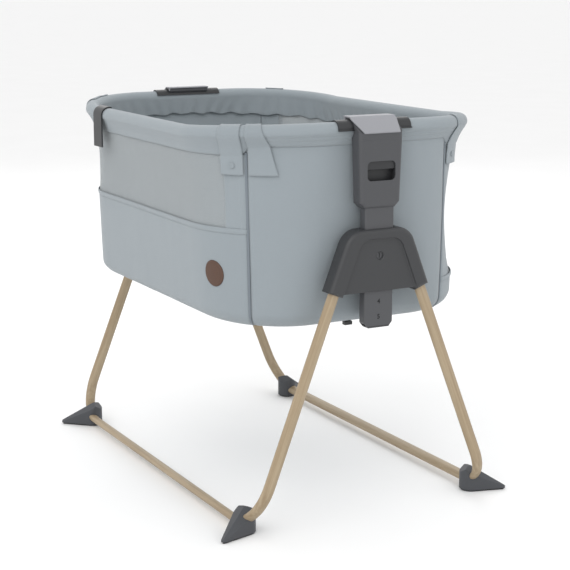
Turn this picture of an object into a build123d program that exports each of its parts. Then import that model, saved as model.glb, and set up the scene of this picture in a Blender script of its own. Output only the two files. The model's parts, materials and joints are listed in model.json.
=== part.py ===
from build123d import *
import math
import os

# Bedside bassinet on a two-legged stand.
# Frame: +Z up, floor at z = 0, origin on the floor under the middle of the basket.
# X runs across the basket, Y along it. The near end is at -Y and the far end is its mirror image.
# The basket is drawn at its lowest height. All sizes are in millimetres.

os.makedirs("parts", exist_ok=True)

# ---------------------------------------------------------------- driving sizes: stand
STAND_WIDTH = 520.0          # between the corners where leg and floor bar axes meet
STAND_LENGTH = 885.0         # the same, along Y
BAR_HEIGHT = 18.0            # floor bar axis above the floor
LEG_APEX_Z = 685.0           # height where the two leg axes of one end would meet
HUB_LEG_Y = 436.5            # distance of the leg axes from the middle, at the hub
HUB_LEG_Z = 505.0            # height at which that distance is taken
LEG_TOP_Z = 535.0            # upper end of the leg tubes, inside the hub
TUBE_WIDE = 23.0             # oval tube, across its wide axis
TUBE_THIN = 15.0
TUBE_WALL = 1.5
TUBE_BEND_RADIUS = 85.0

# ---------------------------------------------------------------- driving sizes: feet
FOOT_TIP = (319.0, 429.0)    # plan position of a foot's tip, mirrored four ways
FOOT_CENTRE_Y = 391.0        # middle of the shoe's body on the floor bar
FOOT_HEIGHT = 50.0
FOOT_TOE_HEIGHT = 7.0
FOOT_BODY_RADIUS = 22.0
FOOT_TOE_RADIUS = 6.0
SOLE_THICKNESS = 3.0
SOLE_INSET = 3.0
FOOT_OFFSET = 4.0            # middle of the shoe's body, inward from the floor bar's axis
FOOT_ROLL = 24.0             # slope of the shoe's two top facets, in degrees
FOOT_BACK_SLOPE = 38.0
FOOT_BACK_RUN = 6.0          # flat length behind the shoe's highest point
FOOT_EDGE = 2.5
FOOT_SCREW_RADIUS = 2.0
FOOT_SCREW_LENGTH = 12.0

# ---------------------------------------------------------------- driving sizes: post and hub
LEVEL_PITCH = 29.0           # height step between two numbered levels
LEVELS = 5
POST_WIDTH = 62.0
POST_DEPTH = 20.0
POST_WALL = 2.5
POST_CORNER = 3.0
POST_MIDDLE_Y = 434.0
POST_BOTTOM_Z = 376.0
POST_TOP_Z = 645.0
PLUG_FLANGE = 3.5
POST_CHAMFER = 9.0
SLIDE_GAP = 0.3              # between the post and the liner that guides it
LINER_WALL = 0.9
SEAT_GAP = 0.1               # between parts that are fixed to each other

HUB_TOP_Z = 563.0
HUB_PLATE_BOTTOM_Z = 445.0
HUB_SOCKET_END_Z = 451.0     # outer corner of a leg socket
HUB_ARM_HALF = 15.5          # half the width of a leg socket arm
HUB_FRONT_Y = 452.5
HUB_SPLIT_Y = 424.0          # joint between the hub's cover and its back
HUB_BACK_Y = 417.5
HUB_SHOULDER_RADIUS = 40.0
HUB_EDGE_RADIUS = 9.0
HUB_RECESS_DEPTH = 4.5
HUB_RECESS_MARGIN = 12.0
HUB_BACK_PLATE_Y = 420.0     # inner face of the hub's back beside its middle rib
HUB_SCREW_MARGIN = 7.0       # screw line outside the liner
HUB_SCREW_TOP = 22.0
HUB_SCREW_BOTTOM = 10.0
HUB_SCREW_LENGTH = 18.0
SCREW_RADIUS = 1.5
SCREW_HEAD_RADIUS = 3.0
SCREW_HEAD_HEIGHT = 1.8
LEG_PIN_RADIUS = 2.5
LEG_PIN_Z = 476.0
LEG_PIN_COVER = 5.0          # plastic left in front of a leg pin
WINDOW_BEVEL = 1.6
WINDOW_DIAMETER = 14.0
LEVEL_ONE_Z = 512.5          # middle of the number window, where level one shows

# ---------------------------------------------------------------- driving sizes: housing
HOUSING_BOTTOM_Z = 601.0
SEAM_Z = 727.0
HOUSING_HALF_TOP = 46.5      # half width at the seam
HOUSING_HALF_BOTTOM = 42.0
HOUSING_FRONT_Y = 448.5
HOUSING_BACK_Y = 420.0
HOUSING_WALL = 2.5
HOUSING_EDGE = 8.0
HOUSING_CHAMFER = 10.0
HOUSING_SCREW_INSET = 12.0
HOUSING_SCREW_MARGIN = 10.0
HOUSING_SCREW_LENGTH = 7.0
TRIGGER_WINDOW_BOTTOM_Z = 652.0
TRIGGER_WINDOW_HEIGHT = 36.0
TRIGGER_WINDOW_WIDTH = 60.0
TRIGGER_WINDOW_CORNER = 9.0
TRIGGER_HEIGHT = 16.0
TRIGGER_TRAVEL = 7.0
TRIGGER_GAP = 0.5
TRIGGER_TUB_WALL = 1.5
TRIGGER_TUB_BACK = 5.0       # outer face of the tub's back, in front of the post's rear wall
TRIGGER_EDGE = 2.5
TRIGGER_TAB_TOP = 12.0       # top of the tab to the rod, above the trigger's lower face
ROD_OFFSET = 4.4             # pull rod's front face, in front of the post's rear wall
SPRING_SHELF_GAP = 1.5
SPRING_RADIUS = 4.0
SPRING_WIRE = 1.0
SPRING_TURNS = 5

# ---------------------------------------------------------------- driving sizes: latch
LATCH_Z = 441.5              # middle of the latch bolt at the lowest level
BOLT_HEIGHT = 8.0
BOLT_WIDTH = 16.0
BOLT_NOSE = 8.0              # nose width
BOLT_TRAVEL = 3.5
ROD_WIDTH = 8.0
ROD_THICKNESS = 2.2
RACK_WIDTH = 30.0
RACK_THICKNESS = 2.5
LATCH_GAP = 0.3

# ---------------------------------------------------------------- driving sizes: basket
RIM_HALF_WIDTH = 287.0       # rim centre line
RIM_HALF_LENGTH = 408.0
RIM_CORNER = 204.0
RIM_END_Z = 744.5
RIM_SIDE_Z = 733.5           # the rim dips along the long sides
RIM_DIP_Y = 214.0            # distance from the middle where the dip begins
RIM_TUBE_RADIUS = 8.0
RIM_TUBE_WALL = 1.2
RIM_COVER_RADIUS = 15.0
RIM_JOINT_GAP = 1.0

BASE_HALF_WIDTH = 268.0      # outer face of the fabric at the bottom
BASE_HALF_LENGTH = 397.0
BASE_CORNER = 165.0
BASE_Z = 377.0
WALL_TOP_Z = 738.0
WALL_TOP_GROWTH = 2.0        # fabric's outer face at the top, outward from the rim's centre line
WALL_TOP_HALF_WIDTH = RIM_HALF_WIDTH + WALL_TOP_GROWTH
WALL_TOP_HALF_LENGTH = RIM_HALF_LENGTH + WALL_TOP_GROWTH
WALL_TOP_CORNER = RIM_CORNER + WALL_TOP_GROWTH
WALL_THICKNESS = 2.5
ZIP_WIDTH = 6.0
ZIP_THICKNESS = 1.8
LEFT_MESH_Z = 560.0          # lower edge of the mesh on the left side
RIGHT_MESH_Z = 437.0
PANEL_GAP = 0.6

BASE_TUBE_RADIUS = 6.0
BASE_TUBE_INSET = 52.0       # base tube's centre line, inward from the fabric's outer face
BASE_CLOTH_THICKNESS = 2.0
BASE_CLOTH_GAP = 3.0         # from the cloth's underside up to the base tube
BOARD_INSET = 9.0
MATTRESS_INSET = 10.0
BOARD_THICKNESS = 4.0
MATTRESS_THICKNESS = 36.0
MATTRESS_CORNER_EDGE = 8.0
TAB_BOTTOM_Z = 664.0
TAB_THICKNESS = 1.6
TAB_ANGLE = 12.0             # angle that one tab covers round the basket's corner
TAB_OFFSET_ANGLE = 2.6

RAIL_HALF_LENGTH = 77.5
RAIL_WALL = 2.7
RAIL_GAP = 0.3
RAIL_FLANGE = 3.0
RAIL_FLANGE_THICKNESS = 2.5
RAIL_INNER_EDGE = 6.0        # the rail's inner edge, above the rim's centre line
RIVET_X = 25.0
RIVET_RADIUS = 1.6
RIVET_HEAD_COVER = 0.4       # how far a rivet's top stays under the rail's surface
FLAP_HALF_TOP = 48.0
FLAP_HALF_BOTTOM = 36.0
FLAP_THICKNESS = 2.2
HINGE_INWARD = 14.0          # hinge axis, inward from the rim's centre line
HINGE_RISE = 18.0            # hinge axis above the rim's centre line
HINGE_PIN_RADIUS = 1.5
HINGE_CLEARANCE = 0.05
COLLAR_FRONT_RISE = 12.5     # height of the collar's front face above the seam
COLLAR_TOP_COVER = 1.3       # material over the hinge pin
COLLAR_CREST = 4.0           # where the top turns down, outward from the rim's centre line
COLLAR_LIP = 3.0             # material inward of the hinge axis
COLLAR_LIP_FALL = 1.1        # slope inward of the hinge that lets the flap's inner edge drop
FLAP_GAP = 0.4
FLAP_OVERHANG = 1.5

BADGE_DIAMETER = 50.0
BADGE_THICKNESS = 1.6
BADGE_Z = 476.0
BADGE_ANGLE = 20.5           # round the near left corner, from the side
HOOK_Y = 185.0
HOOK_WIDTH = 44.0
HOOK_THICKNESS = 3.0
HOOK_DROP = 84.0
CLIP_SIZE = (16.0, 10.0, 7.0)
CLIP_INSET = 18.0
CLIP_X = -26.0

# ---------------------------------------------------------------- sizes that follow
FOOT_CENTRE_X = STAND_WIDTH / 2 - FOOT_OFFSET
LEG_SLOPE = STAND_WIDTH / 2 / (LEG_APEX_Z - BAR_HEIGHT)
LEG_ANGLE = math.atan(LEG_SLOPE)
STAND_END_Y = STAND_LENGTH / 2
LEG_LEAN = (STAND_END_Y - HUB_LEG_Y) / (HUB_LEG_Z - BAR_HEIGHT)
POST_FRONT_Y = POST_MIDDLE_Y + POST_DEPTH / 2
POST_BACK_Y = POST_MIDDLE_Y - POST_DEPTH / 2
TRAVEL = LEVEL_PITCH * (LEVELS - 1)
LINER_HALF_WIDTH = POST_WIDTH / 2 + SLIDE_GAP + LINER_WALL
LINER_HALF_DEPTH = POST_DEPTH / 2 + SLIDE_GAP + LINER_WALL
RAIL_INNER = RIM_COVER_RADIUS + RAIL_GAP
RAIL_OUTER = RAIL_INNER + RAIL_WALL
COLLAR_BORE = RAIL_OUTER + 2 * RAIL_GAP
HINGE_Y = RIM_HALF_LENGTH - HINGE_INWARD
HINGE_Z = RIM_END_Z + HINGE_RISE
TRIGGER_BOTTOM_Z = TRIGGER_WINDOW_BOTTOM_Z + TRIGGER_WINDOW_HEIGHT - TRIGGER_HEIGHT
SHELF_Z = TRIGGER_BOTTOM_Z + TRIGGER_HEIGHT + TRIGGER_TRAVEL + SPRING_TURNS * SPRING_WIRE + SPRING_SHELF_GAP
BOLT_RATIO = BOLT_TRAVEL / TRIGGER_TRAVEL


# ---------------------------------------------------------------- helpers
def box(x0, x1, y0, y1, z0, z1):
    """Solid box between two corners."""
    centre = ((x0 + x1) / 2, (y0 + y1) / 2, (z0 + z1) / 2)
    return Pos(*centre) * Box(abs(x1 - x0), abs(y1 - y0), abs(z1 - z0))


def end_box(half_width, depth_front, depth_back, z0, z1):
    """Box centred on X at the near end; the two depths are distances from the middle."""
    return box(-half_width, half_width, -depth_front, -depth_back, z0, z1)


def rod(x, y, z, radius, length, direction):
    """Cylinder that starts at a point and runs in one direction."""
    plane = Plane(origin=(x, y, z), z_dir=direction)
    return extrude(plane * Circle(radius), length)


def profile_xz(points, y_from, y_to):
    """Prism of an outline drawn in XZ, between two distances along Y."""
    plane = Plane(origin=(0, y_from, 0), x_dir=(1, 0, 0), z_dir=(0, -1, 0))
    outline = plane * make_face(Polyline(*points, close=True))
    return extrude(outline, y_from - y_to)


def profile_yz(points, half_width):
    """Prism of an outline drawn in YZ, centred on X."""
    plane = Plane(origin=(-half_width, 0, 0), x_dir=(0, 1, 0), z_dir=(1, 0, 0))
    outline = plane * make_face(Polyline(*points, close=True))
    return extrude(outline, 2 * half_width)


def rounded_plan(half_width, half_length, corner, z):
    """Rounded rectangle in plan at one height."""
    return Pos(0, 0, z) * RectangleRounded(2 * half_width, 2 * half_length, corner)


def far(shape):
    """The far end's copy of a near-end piece."""
    return mirror(shape, Plane.XZ)


def group(shapes):
    """Several separate solids kept together as one node."""
    return Compound(children=[solid for shape in shapes for solid in shape.solids()])


def save(name, shape):
    shape.label = name
    export_step(shape, os.path.join("parts", name + ".step"))


# ---------------------------------------------------------------- stand tubes
def leg_point(side, end, z):
    """Point on a leg's axis at one height; side is -1 or 1 in X, end is -1 or 1 in Y."""
    return Vector(side * LEG_SLOPE * (LEG_APEX_Z - z), end * (STAND_END_Y - LEG_LEAN * (z - BAR_HEIGHT)), z)


def leg_direction(side, end):
    return (leg_point(side, end, LEG_TOP_Z) - leg_point(side, end, BAR_HEIGHT)).normalized()


def oval_plane(side, end, z):
    """Plane across a leg with its X axis along the tube's wide axis."""
    axis = leg_direction(side, end)
    wide = axis.cross(Vector(0, 1, 0)).normalized()
    return Plane(origin=leg_point(side, end, z), x_dir=wide, z_dir=-axis)


def leg_path(side):
    points = [
        leg_point(side, -1, LEG_TOP_Z),
        leg_point(side, -1, BAR_HEIGHT),
        leg_point(side, 1, BAR_HEIGHT),
        leg_point(side, 1, LEG_TOP_Z),
    ]
    return FilletPolyline(*points, radius=TUBE_BEND_RADIUS)


def leg_sweep(side, growth):
    """Solid oval bar along one U, larger all round than the tube by the growth."""
    section = oval_plane(side, -1, LEG_TOP_Z) * Ellipse(TUBE_WIDE / 2 + growth, TUBE_THIN / 2 + growth)
    return sweep(section, path=leg_path(side))


def leg_frame(side):
    tube = leg_sweep(side, 0) - leg_sweep(side, -TUBE_WALL)
    for end in (-1, 1):
        tube -= leg_pin_hole(side, end, SLIDE_GAP)
        tube -= foot_screw_hole(side, end)
    return tube


def socket_core(side, end, growth):
    """Straight oval bar along one leg, used to cut the hub's socket."""
    section = oval_plane(side, end, LEG_TOP_Z + SEAT_GAP)
    outline = section * Ellipse(TUBE_WIDE / 2 + growth, TUBE_THIN / 2 + growth)
    return extrude(outline, LEG_TOP_Z - HUB_PLATE_BOTTOM_Z + 40)


# ---------------------------------------------------------------- feet
def foot_screw_hole(side, end):
    x = side * STAND_WIDTH / 2
    return rod(x, end * FOOT_CENTRE_Y, 0, FOOT_SCREW_RADIUS + SLIDE_GAP, BAR_HEIGHT, (0, 0, 1))


def foot_outline(inset):
    """Drop shape in plan: a round body on the bar, tangent to a small round toe."""
    body = (FOOT_CENTRE_X, -FOOT_CENTRE_Y)
    toe = (FOOT_TIP[0] - FOOT_TOE_RADIUS, -FOOT_TIP[1] + FOOT_TOE_RADIUS)
    big = FOOT_BODY_RADIUS - inset
    small = FOOT_TOE_RADIUS - inset
    gap = math.hypot(toe[0] - body[0], toe[1] - body[1])
    heading = math.atan2(toe[1] - body[1], toe[0] - body[0])
    spread = math.acos((big - small) / gap)
    left, right = heading + spread, heading - spread

    def on(centre, radius, angle):
        return (centre[0] + radius * math.cos(angle), centre[1] + radius * math.sin(angle))

    round_body = ThreePointArc(
        on(body, big, left), on(body, big, heading + math.pi), on(body, big, right)
    )
    round_toe = ThreePointArc(on(toe, small, right), on(toe, small, heading), on(toe, small, left))
    edge_a = Line(on(body, big, right), on(toe, small, right))
    edge_b = Line(on(toe, small, left), on(body, big, left))
    return make_face([round_body, edge_a, round_toe, edge_b])


def foot_heading():
    run = FOOT_TIP[0] - FOOT_CENTRE_X
    drop = FOOT_TIP[1] - FOOT_CENTRE_Y
    return math.degrees(math.atan2(-drop, run)), math.hypot(run, drop)


def foot(side, end):
    """Shoe for the near right corner, moved to the wanted corner by mirroring."""
    heading, reach = foot_heading()
    shoe = extrude(foot_outline(0), FOOT_HEIGHT)
    origin = Location((FOOT_CENTRE_X, -FOOT_CENTRE_Y, FOOT_HEIGHT), (0, 0, heading))
    fall = math.degrees(math.atan2(FOOT_HEIGHT - FOOT_TOE_HEIGHT, reach))
    slab = Pos(0, 0, FOOT_HEIGHT) * Box(8 * FOOT_HEIGHT, 4 * FOOT_HEIGHT, 2 * FOOT_HEIGHT)
    for roll in (-FOOT_ROLL, FOOT_ROLL):
        shoe -= origin * Rot(0, fall, 0) * Rot(roll, 0, 0) * slab
    shoe -= origin * Pos(-FOOT_BACK_RUN, 0, 0) * Rot(0, -FOOT_BACK_SLOPE, 0) * slab
    shoe = shoe - extrude(foot_outline(-1), SOLE_THICKNESS + SEAT_GAP)
    top_edges = [e for e in shoe.edges() if e.center().Z > SOLE_THICKNESS + 6 and e.length > 8]
    shoe = fillet(top_edges, FOOT_EDGE)
    shoe -= leg_sweep(1, SEAT_GAP)
    shoe -= foot_screw_hole(1, -1)
    return place_corner(shoe, side, end)


def place_corner(shape, side, end):
    if side < 0:
        shape = mirror(shape, Plane.YZ)
    if end > 0:
        shape = mirror(shape, Plane.XZ)
    return shape


def sole_pad(side, end):
    pad = extrude(foot_outline(SOLE_INSET), SOLE_THICKNESS)
    pad -= foot_screw_hole(1, -1)
    return place_corner(pad, side, end)


def foot_screw(side, end):
    shank = rod(STAND_WIDTH / 2, -FOOT_CENTRE_Y, 1, FOOT_SCREW_RADIUS, FOOT_SCREW_LENGTH, (0, 0, 1))
    return place_corner(shank, side, end)


# ---------------------------------------------------------------- hub
def arm_edge(z, offset):
    """X of a line parallel to the leg axis, offset outward from it, at one height."""
    return LEG_SLOPE * (LEG_APEX_Z - z) + offset / math.cos(LEG_ANGLE)


def hub_outline():
    """Right half of the hub's outline from the top middle down to the plate's bottom edge."""
    outer = (arm_edge(HUB_SOCKET_END_Z, HUB_ARM_HALF), HUB_SOCKET_END_Z)
    across = 2 * HUB_ARM_HALF
    inner = (outer[0] - across * math.cos(LEG_ANGLE), outer[1] - across * math.sin(LEG_ANGLE))
    crotch = (arm_edge(HUB_PLATE_BOTTOM_Z, -HUB_ARM_HALF), HUB_PLATE_BOTTOM_Z)
    return [(arm_edge(HUB_TOP_Z, HUB_ARM_HALF), HUB_TOP_Z), outer, inner, crotch]


def hub_prism(y_front, y_back, shoulder):
    right = hub_outline()
    left = [(-x, z) for x, z in reversed(right)]
    prism = profile_xz(right + left, -y_back, -y_front)
    tops = [e for e in prism.edges() if abs(e.center().Z - HUB_TOP_Z) < 1 and abs(e.center().X) > 1]
    tops = [e for e in tops if e.length > abs(y_front - y_back) - 1]
    return fillet(tops, shoulder)


def hub_screw_spots():
    x = LINER_HALF_WIDTH + HUB_SCREW_MARGIN
    heights = (HUB_TOP_Z - HUB_SCREW_TOP, HUB_PLATE_BOTTOM_Z + HUB_SCREW_BOTTOM)
    return [(side * x, z) for z in heights for side in (-1, 1)]


def leg_pin_hole(side, end, growth):
    front = HUB_FRONT_Y - LEG_PIN_COVER
    x = leg_point(side, end, LEG_PIN_Z).X
    return rod(x, end * front, LEG_PIN_Z, LEG_PIN_RADIUS + growth, front - HUB_SPLIT_Y, (0, -end, 0))


def post_channel(z0, z1, growth):
    half_x = LINER_HALF_WIDTH + growth
    half_y = LINER_HALF_DEPTH + growth
    return box(-half_x, half_x, -POST_MIDDLE_Y - half_y, -POST_MIDDLE_Y + half_y, z0, z1)


def rack_pocket(growth):
    y_outer = POST_MIDDLE_Y - LINER_HALF_DEPTH
    return box(
        -RACK_WIDTH / 2 - growth, RACK_WIDTH / 2 + growth,
        -y_outer - growth, -y_outer + RACK_THICKNESS + growth,
        LATCH_Z - 9, LATCH_Z + TRAVEL + 9,
    )


def hub_recess():
    """Flat recessed face between the arms, open at the bottom edge."""
    margin = HUB_ARM_HALF + HUB_RECESS_MARGIN
    top = HUB_TOP_Z - HUB_RECESS_MARGIN - 5
    bottom = HUB_PLATE_BOTTOM_Z - 20
    right = [(arm_edge(top, -margin + HUB_ARM_HALF), top), (arm_edge(bottom, -margin + HUB_ARM_HALF), bottom)]
    left = [(-x, z) for x, z in reversed(right)]
    cut = profile_xz(right + left, -HUB_FRONT_Y + HUB_RECESS_DEPTH, -HUB_FRONT_Y - 5)
    corners = [e for e in cut.edges().filter_by(Axis.Y) if e.center().Z > top - 1]
    cut = fillet(corners, HUB_SHOULDER_RADIUS - HUB_RECESS_MARGIN)
    floor = [e for e in cut.faces().sort_by(Axis.Y)[-1].edges() if e.center().Z > bottom + 1]
    return fillet(floor, HUB_RECESS_DEPTH - 0.6)


def hub_cover():
    cover = hub_prism(HUB_FRONT_Y, HUB_SPLIT_Y, HUB_SHOULDER_RADIUS)
    front = cover.faces().sort_by(Axis.Y)[0]
    cover = fillet(front.edges(), HUB_EDGE_RADIUS)
    cover -= hub_recess()
    cover -= post_channel(HUB_PLATE_BOTTOM_Z - 20, HUB_TOP_Z + 5, SEAT_GAP)
    for side in (-1, 1):
        cover -= socket_core(side, -1, SEAT_GAP)
        cover -= leg_pin_hole(side, -1, SEAT_GAP)
    cover -= window_cone()
    for x, z in hub_screw_spots():
        cover -= rod(x, -HUB_SPLIT_Y, z, SCREW_RADIUS + SEAT_GAP, HUB_SCREW_LENGTH - 1, (0, -1, 0))
    return cover


def window_cone():
    """Round number window with a bevelled rim."""
    face_y = -HUB_FRONT_Y + HUB_RECESS_DEPTH
    bore = rod(0, face_y - 1, LEVEL_ONE_Z, WINDOW_DIAMETER / 2, 12, (0, 1, 0))
    radius = WINDOW_DIAMETER / 2
    upright = (Align.CENTER, Align.CENTER, Align.MIN)
    bevel = Cone(radius + WINDOW_BEVEL, radius, WINDOW_BEVEL, align=upright)
    return bore + Plane(origin=(0, face_y, LEVEL_ONE_Z), z_dir=(0, 1, 0)) * bevel


def hub_back():
    """Back of the hub, with a raised rib that holds the latch rack."""
    back = hub_prism(HUB_SPLIT_Y - SEAT_GAP, HUB_BACK_PLATE_Y, HUB_SHOULDER_RADIUS)
    rib = end_box(RACK_WIDTH / 2 + 4, HUB_SPLIT_Y - SEAT_GAP, HUB_BACK_Y, HUB_PLATE_BOTTOM_Z, HUB_TOP_Z - 1)
    back += rib
    back -= post_channel(HUB_PLATE_BOTTOM_Z - 20, HUB_TOP_Z + 5, SEAT_GAP)
    back -= rack_pocket(SEAT_GAP)
    for side in (-1, 1):
        back -= socket_core(side, -1, SEAT_GAP)
    for x, z in hub_screw_spots():
        back -= rod(x, -HUB_SPLIT_Y - 1, z, SCREW_RADIUS + SEAT_GAP, 12, (0, 1, 0))
    return back


def hub_screws():
    """Screws through the hub's back, heads on its inner face."""
    screws = []
    head_y = -HUB_BACK_PLATE_Y + SEAT_GAP
    for x, z in hub_screw_spots():
        shank = rod(x, head_y, z, SCREW_RADIUS, HUB_SCREW_LENGTH, (0, -1, 0))
        head = rod(x, head_y, z, SCREW_HEAD_RADIUS, SCREW_HEAD_HEIGHT, (0, 1, 0))
        screws.append(shank + head)
    return screws


def leg_pin(side):
    return leg_pin_hole(side, -1, 0)


def liner():
    """Nylon sleeve between the hub and the sliding post, slotted for the latch and the window."""
    z0, z1 = HUB_PLATE_BOTTOM_Z + 0.5, HUB_TOP_Z - 4
    sleeve = post_channel(z0, z1, 0)
    half_x = POST_WIDTH / 2 + SLIDE_GAP
    half_y = POST_DEPTH / 2 + SLIDE_GAP
    sleeve -= box(-half_x, half_x, -POST_MIDDLE_Y - half_y, -POST_MIDDLE_Y + half_y, z0 - 1, z1 + 1)
    sleeve -= box(-RACK_WIDTH / 2, RACK_WIDTH / 2, -POST_MIDDLE_Y, -POST_MIDDLE_Y + 20, z0 - 1, z1 + 1)
    depth = HUB_FRONT_Y - POST_MIDDLE_Y
    sleeve -= rod(0, -HUB_FRONT_Y, LEVEL_ONE_Z, WINDOW_DIAMETER / 2 + 1, depth, (0, 1, 0))
    return sleeve


def latch_rack():
    rack = rack_pocket(0)
    half = BOLT_HEIGHT / 2 + 1
    for level in range(LEVELS):
        z = LATCH_Z + level * LEVEL_PITCH
        rack -= end_box(BOLT_NOSE / 2 + 1, POST_FRONT_Y, HUB_BACK_Y, z - half, z + half)
    return rack


# ---------------------------------------------------------------- post
def post():
    """Hollow sliding post with a hole in its back for the latch bolt's nose."""
    y0, y1 = -POST_FRONT_Y, -POST_BACK_Y
    shell = box(-POST_WIDTH / 2, POST_WIDTH / 2, y0, y1, POST_BOTTOM_Z + PLUG_FLANGE, POST_TOP_Z)
    shell = fillet(shell.edges().filter_by(Axis.Z), POST_CORNER)
    shell -= post_bottom_cut()
    half = POST_WIDTH / 2 - POST_WALL
    shell -= box(-half, half, y0 + POST_WALL, y1 - POST_WALL, 0, POST_TOP_Z + 1)
    nose = BOLT_NOSE / 2 + LATCH_GAP
    shell -= box(-nose, nose, -POST_MIDDLE_Y, 0, LATCH_Z - BOLT_HEIGHT / 2 - LATCH_GAP,
                 LATCH_Z + BOLT_HEIGHT / 2 + LATCH_GAP)
    for x, z in housing_screw_spots():
        shell -= rod(x, y1 + 1, z, SCREW_RADIUS + SEAT_GAP, HOUSING_SCREW_LENGTH, (0, -1, 0))
    return shell


def post_bottom_cut():
    """Corner chamfers at the bottom of the post, as one cutting solid."""
    cuts = None
    for side in (-1, 1):
        x_edge = side * POST_WIDTH / 2
        points = [
            (x_edge + side, POST_BOTTOM_Z - 1),
            (x_edge + side, POST_BOTTOM_Z + POST_CHAMFER * 1.2),
            (x_edge, POST_BOTTOM_Z + POST_CHAMFER * 1.2),
            (x_edge - side * POST_CHAMFER, POST_BOTTOM_Z),
            (x_edge - side * POST_CHAMFER, POST_BOTTOM_Z - 1),
        ]
        cut = profile_xz(points, -POST_BACK_Y + 1, -POST_FRONT_Y - 1)
        cuts = cut if cuts is None else cuts + cut
    return cuts


def post_plug():
    """Bottom plug: a flange under the post and a stem up inside it."""
    y0, y1 = -POST_FRONT_Y, -POST_BACK_Y
    flange_top = POST_BOTTOM_Z + PLUG_FLANGE - SEAT_GAP
    flange = box(-POST_WIDTH / 2, POST_WIDTH / 2, y0, y1, POST_BOTTOM_Z, flange_top)
    flange = fillet(flange.edges().filter_by(Axis.Z), POST_CORNER)
    half = POST_WIDTH / 2 - POST_WALL - POST_CHAMFER
    stem = box(-half, half, y0 + POST_WALL + SEAT_GAP, y1 - POST_WALL - SEAT_GAP,
               POST_BOTTOM_Z, POST_BOTTOM_Z + PLUG_FLANGE + 12)
    return (flange + stem) - post_bottom_cut()


# ---------------------------------------------------------------- housing
def housing_half(z):
    share = (z - HOUSING_BOTTOM_Z) / (SEAM_Z - HOUSING_BOTTOM_Z)
    return HOUSING_HALF_BOTTOM + share * (HOUSING_HALF_TOP - HOUSING_HALF_BOTTOM)


def housing_prism(inset, y_front, y_back, z0, z1):
    """Tapered block between two heights, inset on its sides."""
    low, high = housing_half(z0) - inset, housing_half(z1) - inset
    return profile_xz([(-low, z0), (low, z0), (high, z1), (-high, z1)], -y_back, -y_front)


def housing():
    """Front casing of the upper housing, open at the back."""
    split = HOUSING_BACK_Y + HOUSING_WALL
    shell = housing_prism(0, HOUSING_FRONT_Y, split + SEAT_GAP, HOUSING_BOTTOM_Z, SEAM_Z)
    shell = chamfer([e for e in shell.edges().filter_by(Axis.Y) if e.center().Z < HOUSING_BOTTOM_Z + 1],
                    HOUSING_CHAMFER)
    front = shell.faces().sort_by(Axis.Y)[0]
    edges = [e for e in front.edges() if e.center().Z < SEAM_Z - 1]
    shell = fillet(edges, HOUSING_EDGE)
    shell -= housing_prism(HOUSING_WALL, HOUSING_FRONT_Y - HOUSING_WALL, split - 1,
                           HOUSING_BOTTOM_Z + HOUSING_CHAMFER + 1, SEAM_Z - HOUSING_WALL)
    shell -= post_channel(HOUSING_BOTTOM_Z - 1, HOUSING_BOTTOM_Z + HOUSING_CHAMFER + 2, -LINER_WALL)
    shell -= trigger_window()
    return shell


def trigger_window():
    centre_z = TRIGGER_WINDOW_BOTTOM_Z + TRIGGER_WINDOW_HEIGHT / 2
    plane = Plane(origin=(0, -HOUSING_FRONT_Y - 1, centre_z), x_dir=(1, 0, 0), z_dir=(0, 1, 0))
    opening = plane * RectangleRounded(TRIGGER_WINDOW_WIDTH, TRIGGER_WINDOW_HEIGHT, TRIGGER_WINDOW_CORNER)
    return extrude(opening, HOUSING_WALL + 1.5)


def housing_back():
    """Plate that closes the housing and carries the screws."""
    plate = housing_prism(SEAT_GAP, HOUSING_BACK_Y + HOUSING_WALL, HOUSING_BACK_Y, HOUSING_BOTTOM_Z, SEAM_Z)
    plate = chamfer([e for e in plate.edges().filter_by(Axis.Y) if e.center().Z < HOUSING_BOTTOM_Z + 1],
                    HOUSING_CHAMFER)
    for x, z in housing_screw_spots():
        plate -= rod(x, -HOUSING_BACK_Y + 1, z, SCREW_RADIUS + SEAT_GAP, HOUSING_SCREW_LENGTH + 2, (0, -1, 0))
    return plate


def housing_screw_spots():
    x = POST_WIDTH / 2 - HOUSING_SCREW_INSET
    heights = (HOUSING_BOTTOM_Z + 2 * HOUSING_SCREW_MARGIN, POST_TOP_Z - HOUSING_SCREW_MARGIN)
    return [(side * x, z) for z in heights for side in (-1, 1)]


def housing_screws():
    """Screws through the back plate into the post's rear wall."""
    screws = []
    for x, z in housing_screw_spots():
        head = rod(x, -HOUSING_BACK_Y + SEAT_GAP, z, SCREW_HEAD_RADIUS, SCREW_HEAD_HEIGHT, (0, 1, 0))
        shank = rod(x, -HOUSING_BACK_Y + SEAT_GAP, z, SCREW_RADIUS, HOUSING_SCREW_LENGTH, (0, -1, 0))
        screws.append(head + shank)
    return screws


def trigger_frame():
    """Tub behind the window: finger pocket below, shelf for the springs above."""
    front = HOUSING_FRONT_Y - HOUSING_WALL - SEAT_GAP
    back = POST_BACK_Y + POST_WALL + TRIGGER_TUB_BACK
    half = TRIGGER_WINDOW_WIDTH / 2
    bottom = POST_TOP_Z + SEAT_GAP + TRIGGER_TUB_WALL
    frame = end_box(half + TRIGGER_TUB_WALL, front, back, bottom, SHELF_Z + TRIGGER_TUB_WALL)
    frame -= end_box(half, front + 1, back + TRIGGER_TUB_WALL, bottom + TRIGGER_TUB_WALL, SHELF_Z)
    slot_top = TRIGGER_BOTTOM_Z + TRIGGER_HEIGHT + TRIGGER_TRAVEL + 1
    frame -= end_box(ROD_WIDTH / 2 + TRIGGER_GAP, back + 3, back - 1, TRIGGER_BOTTOM_Z - 1, slot_top)
    return frame


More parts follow.
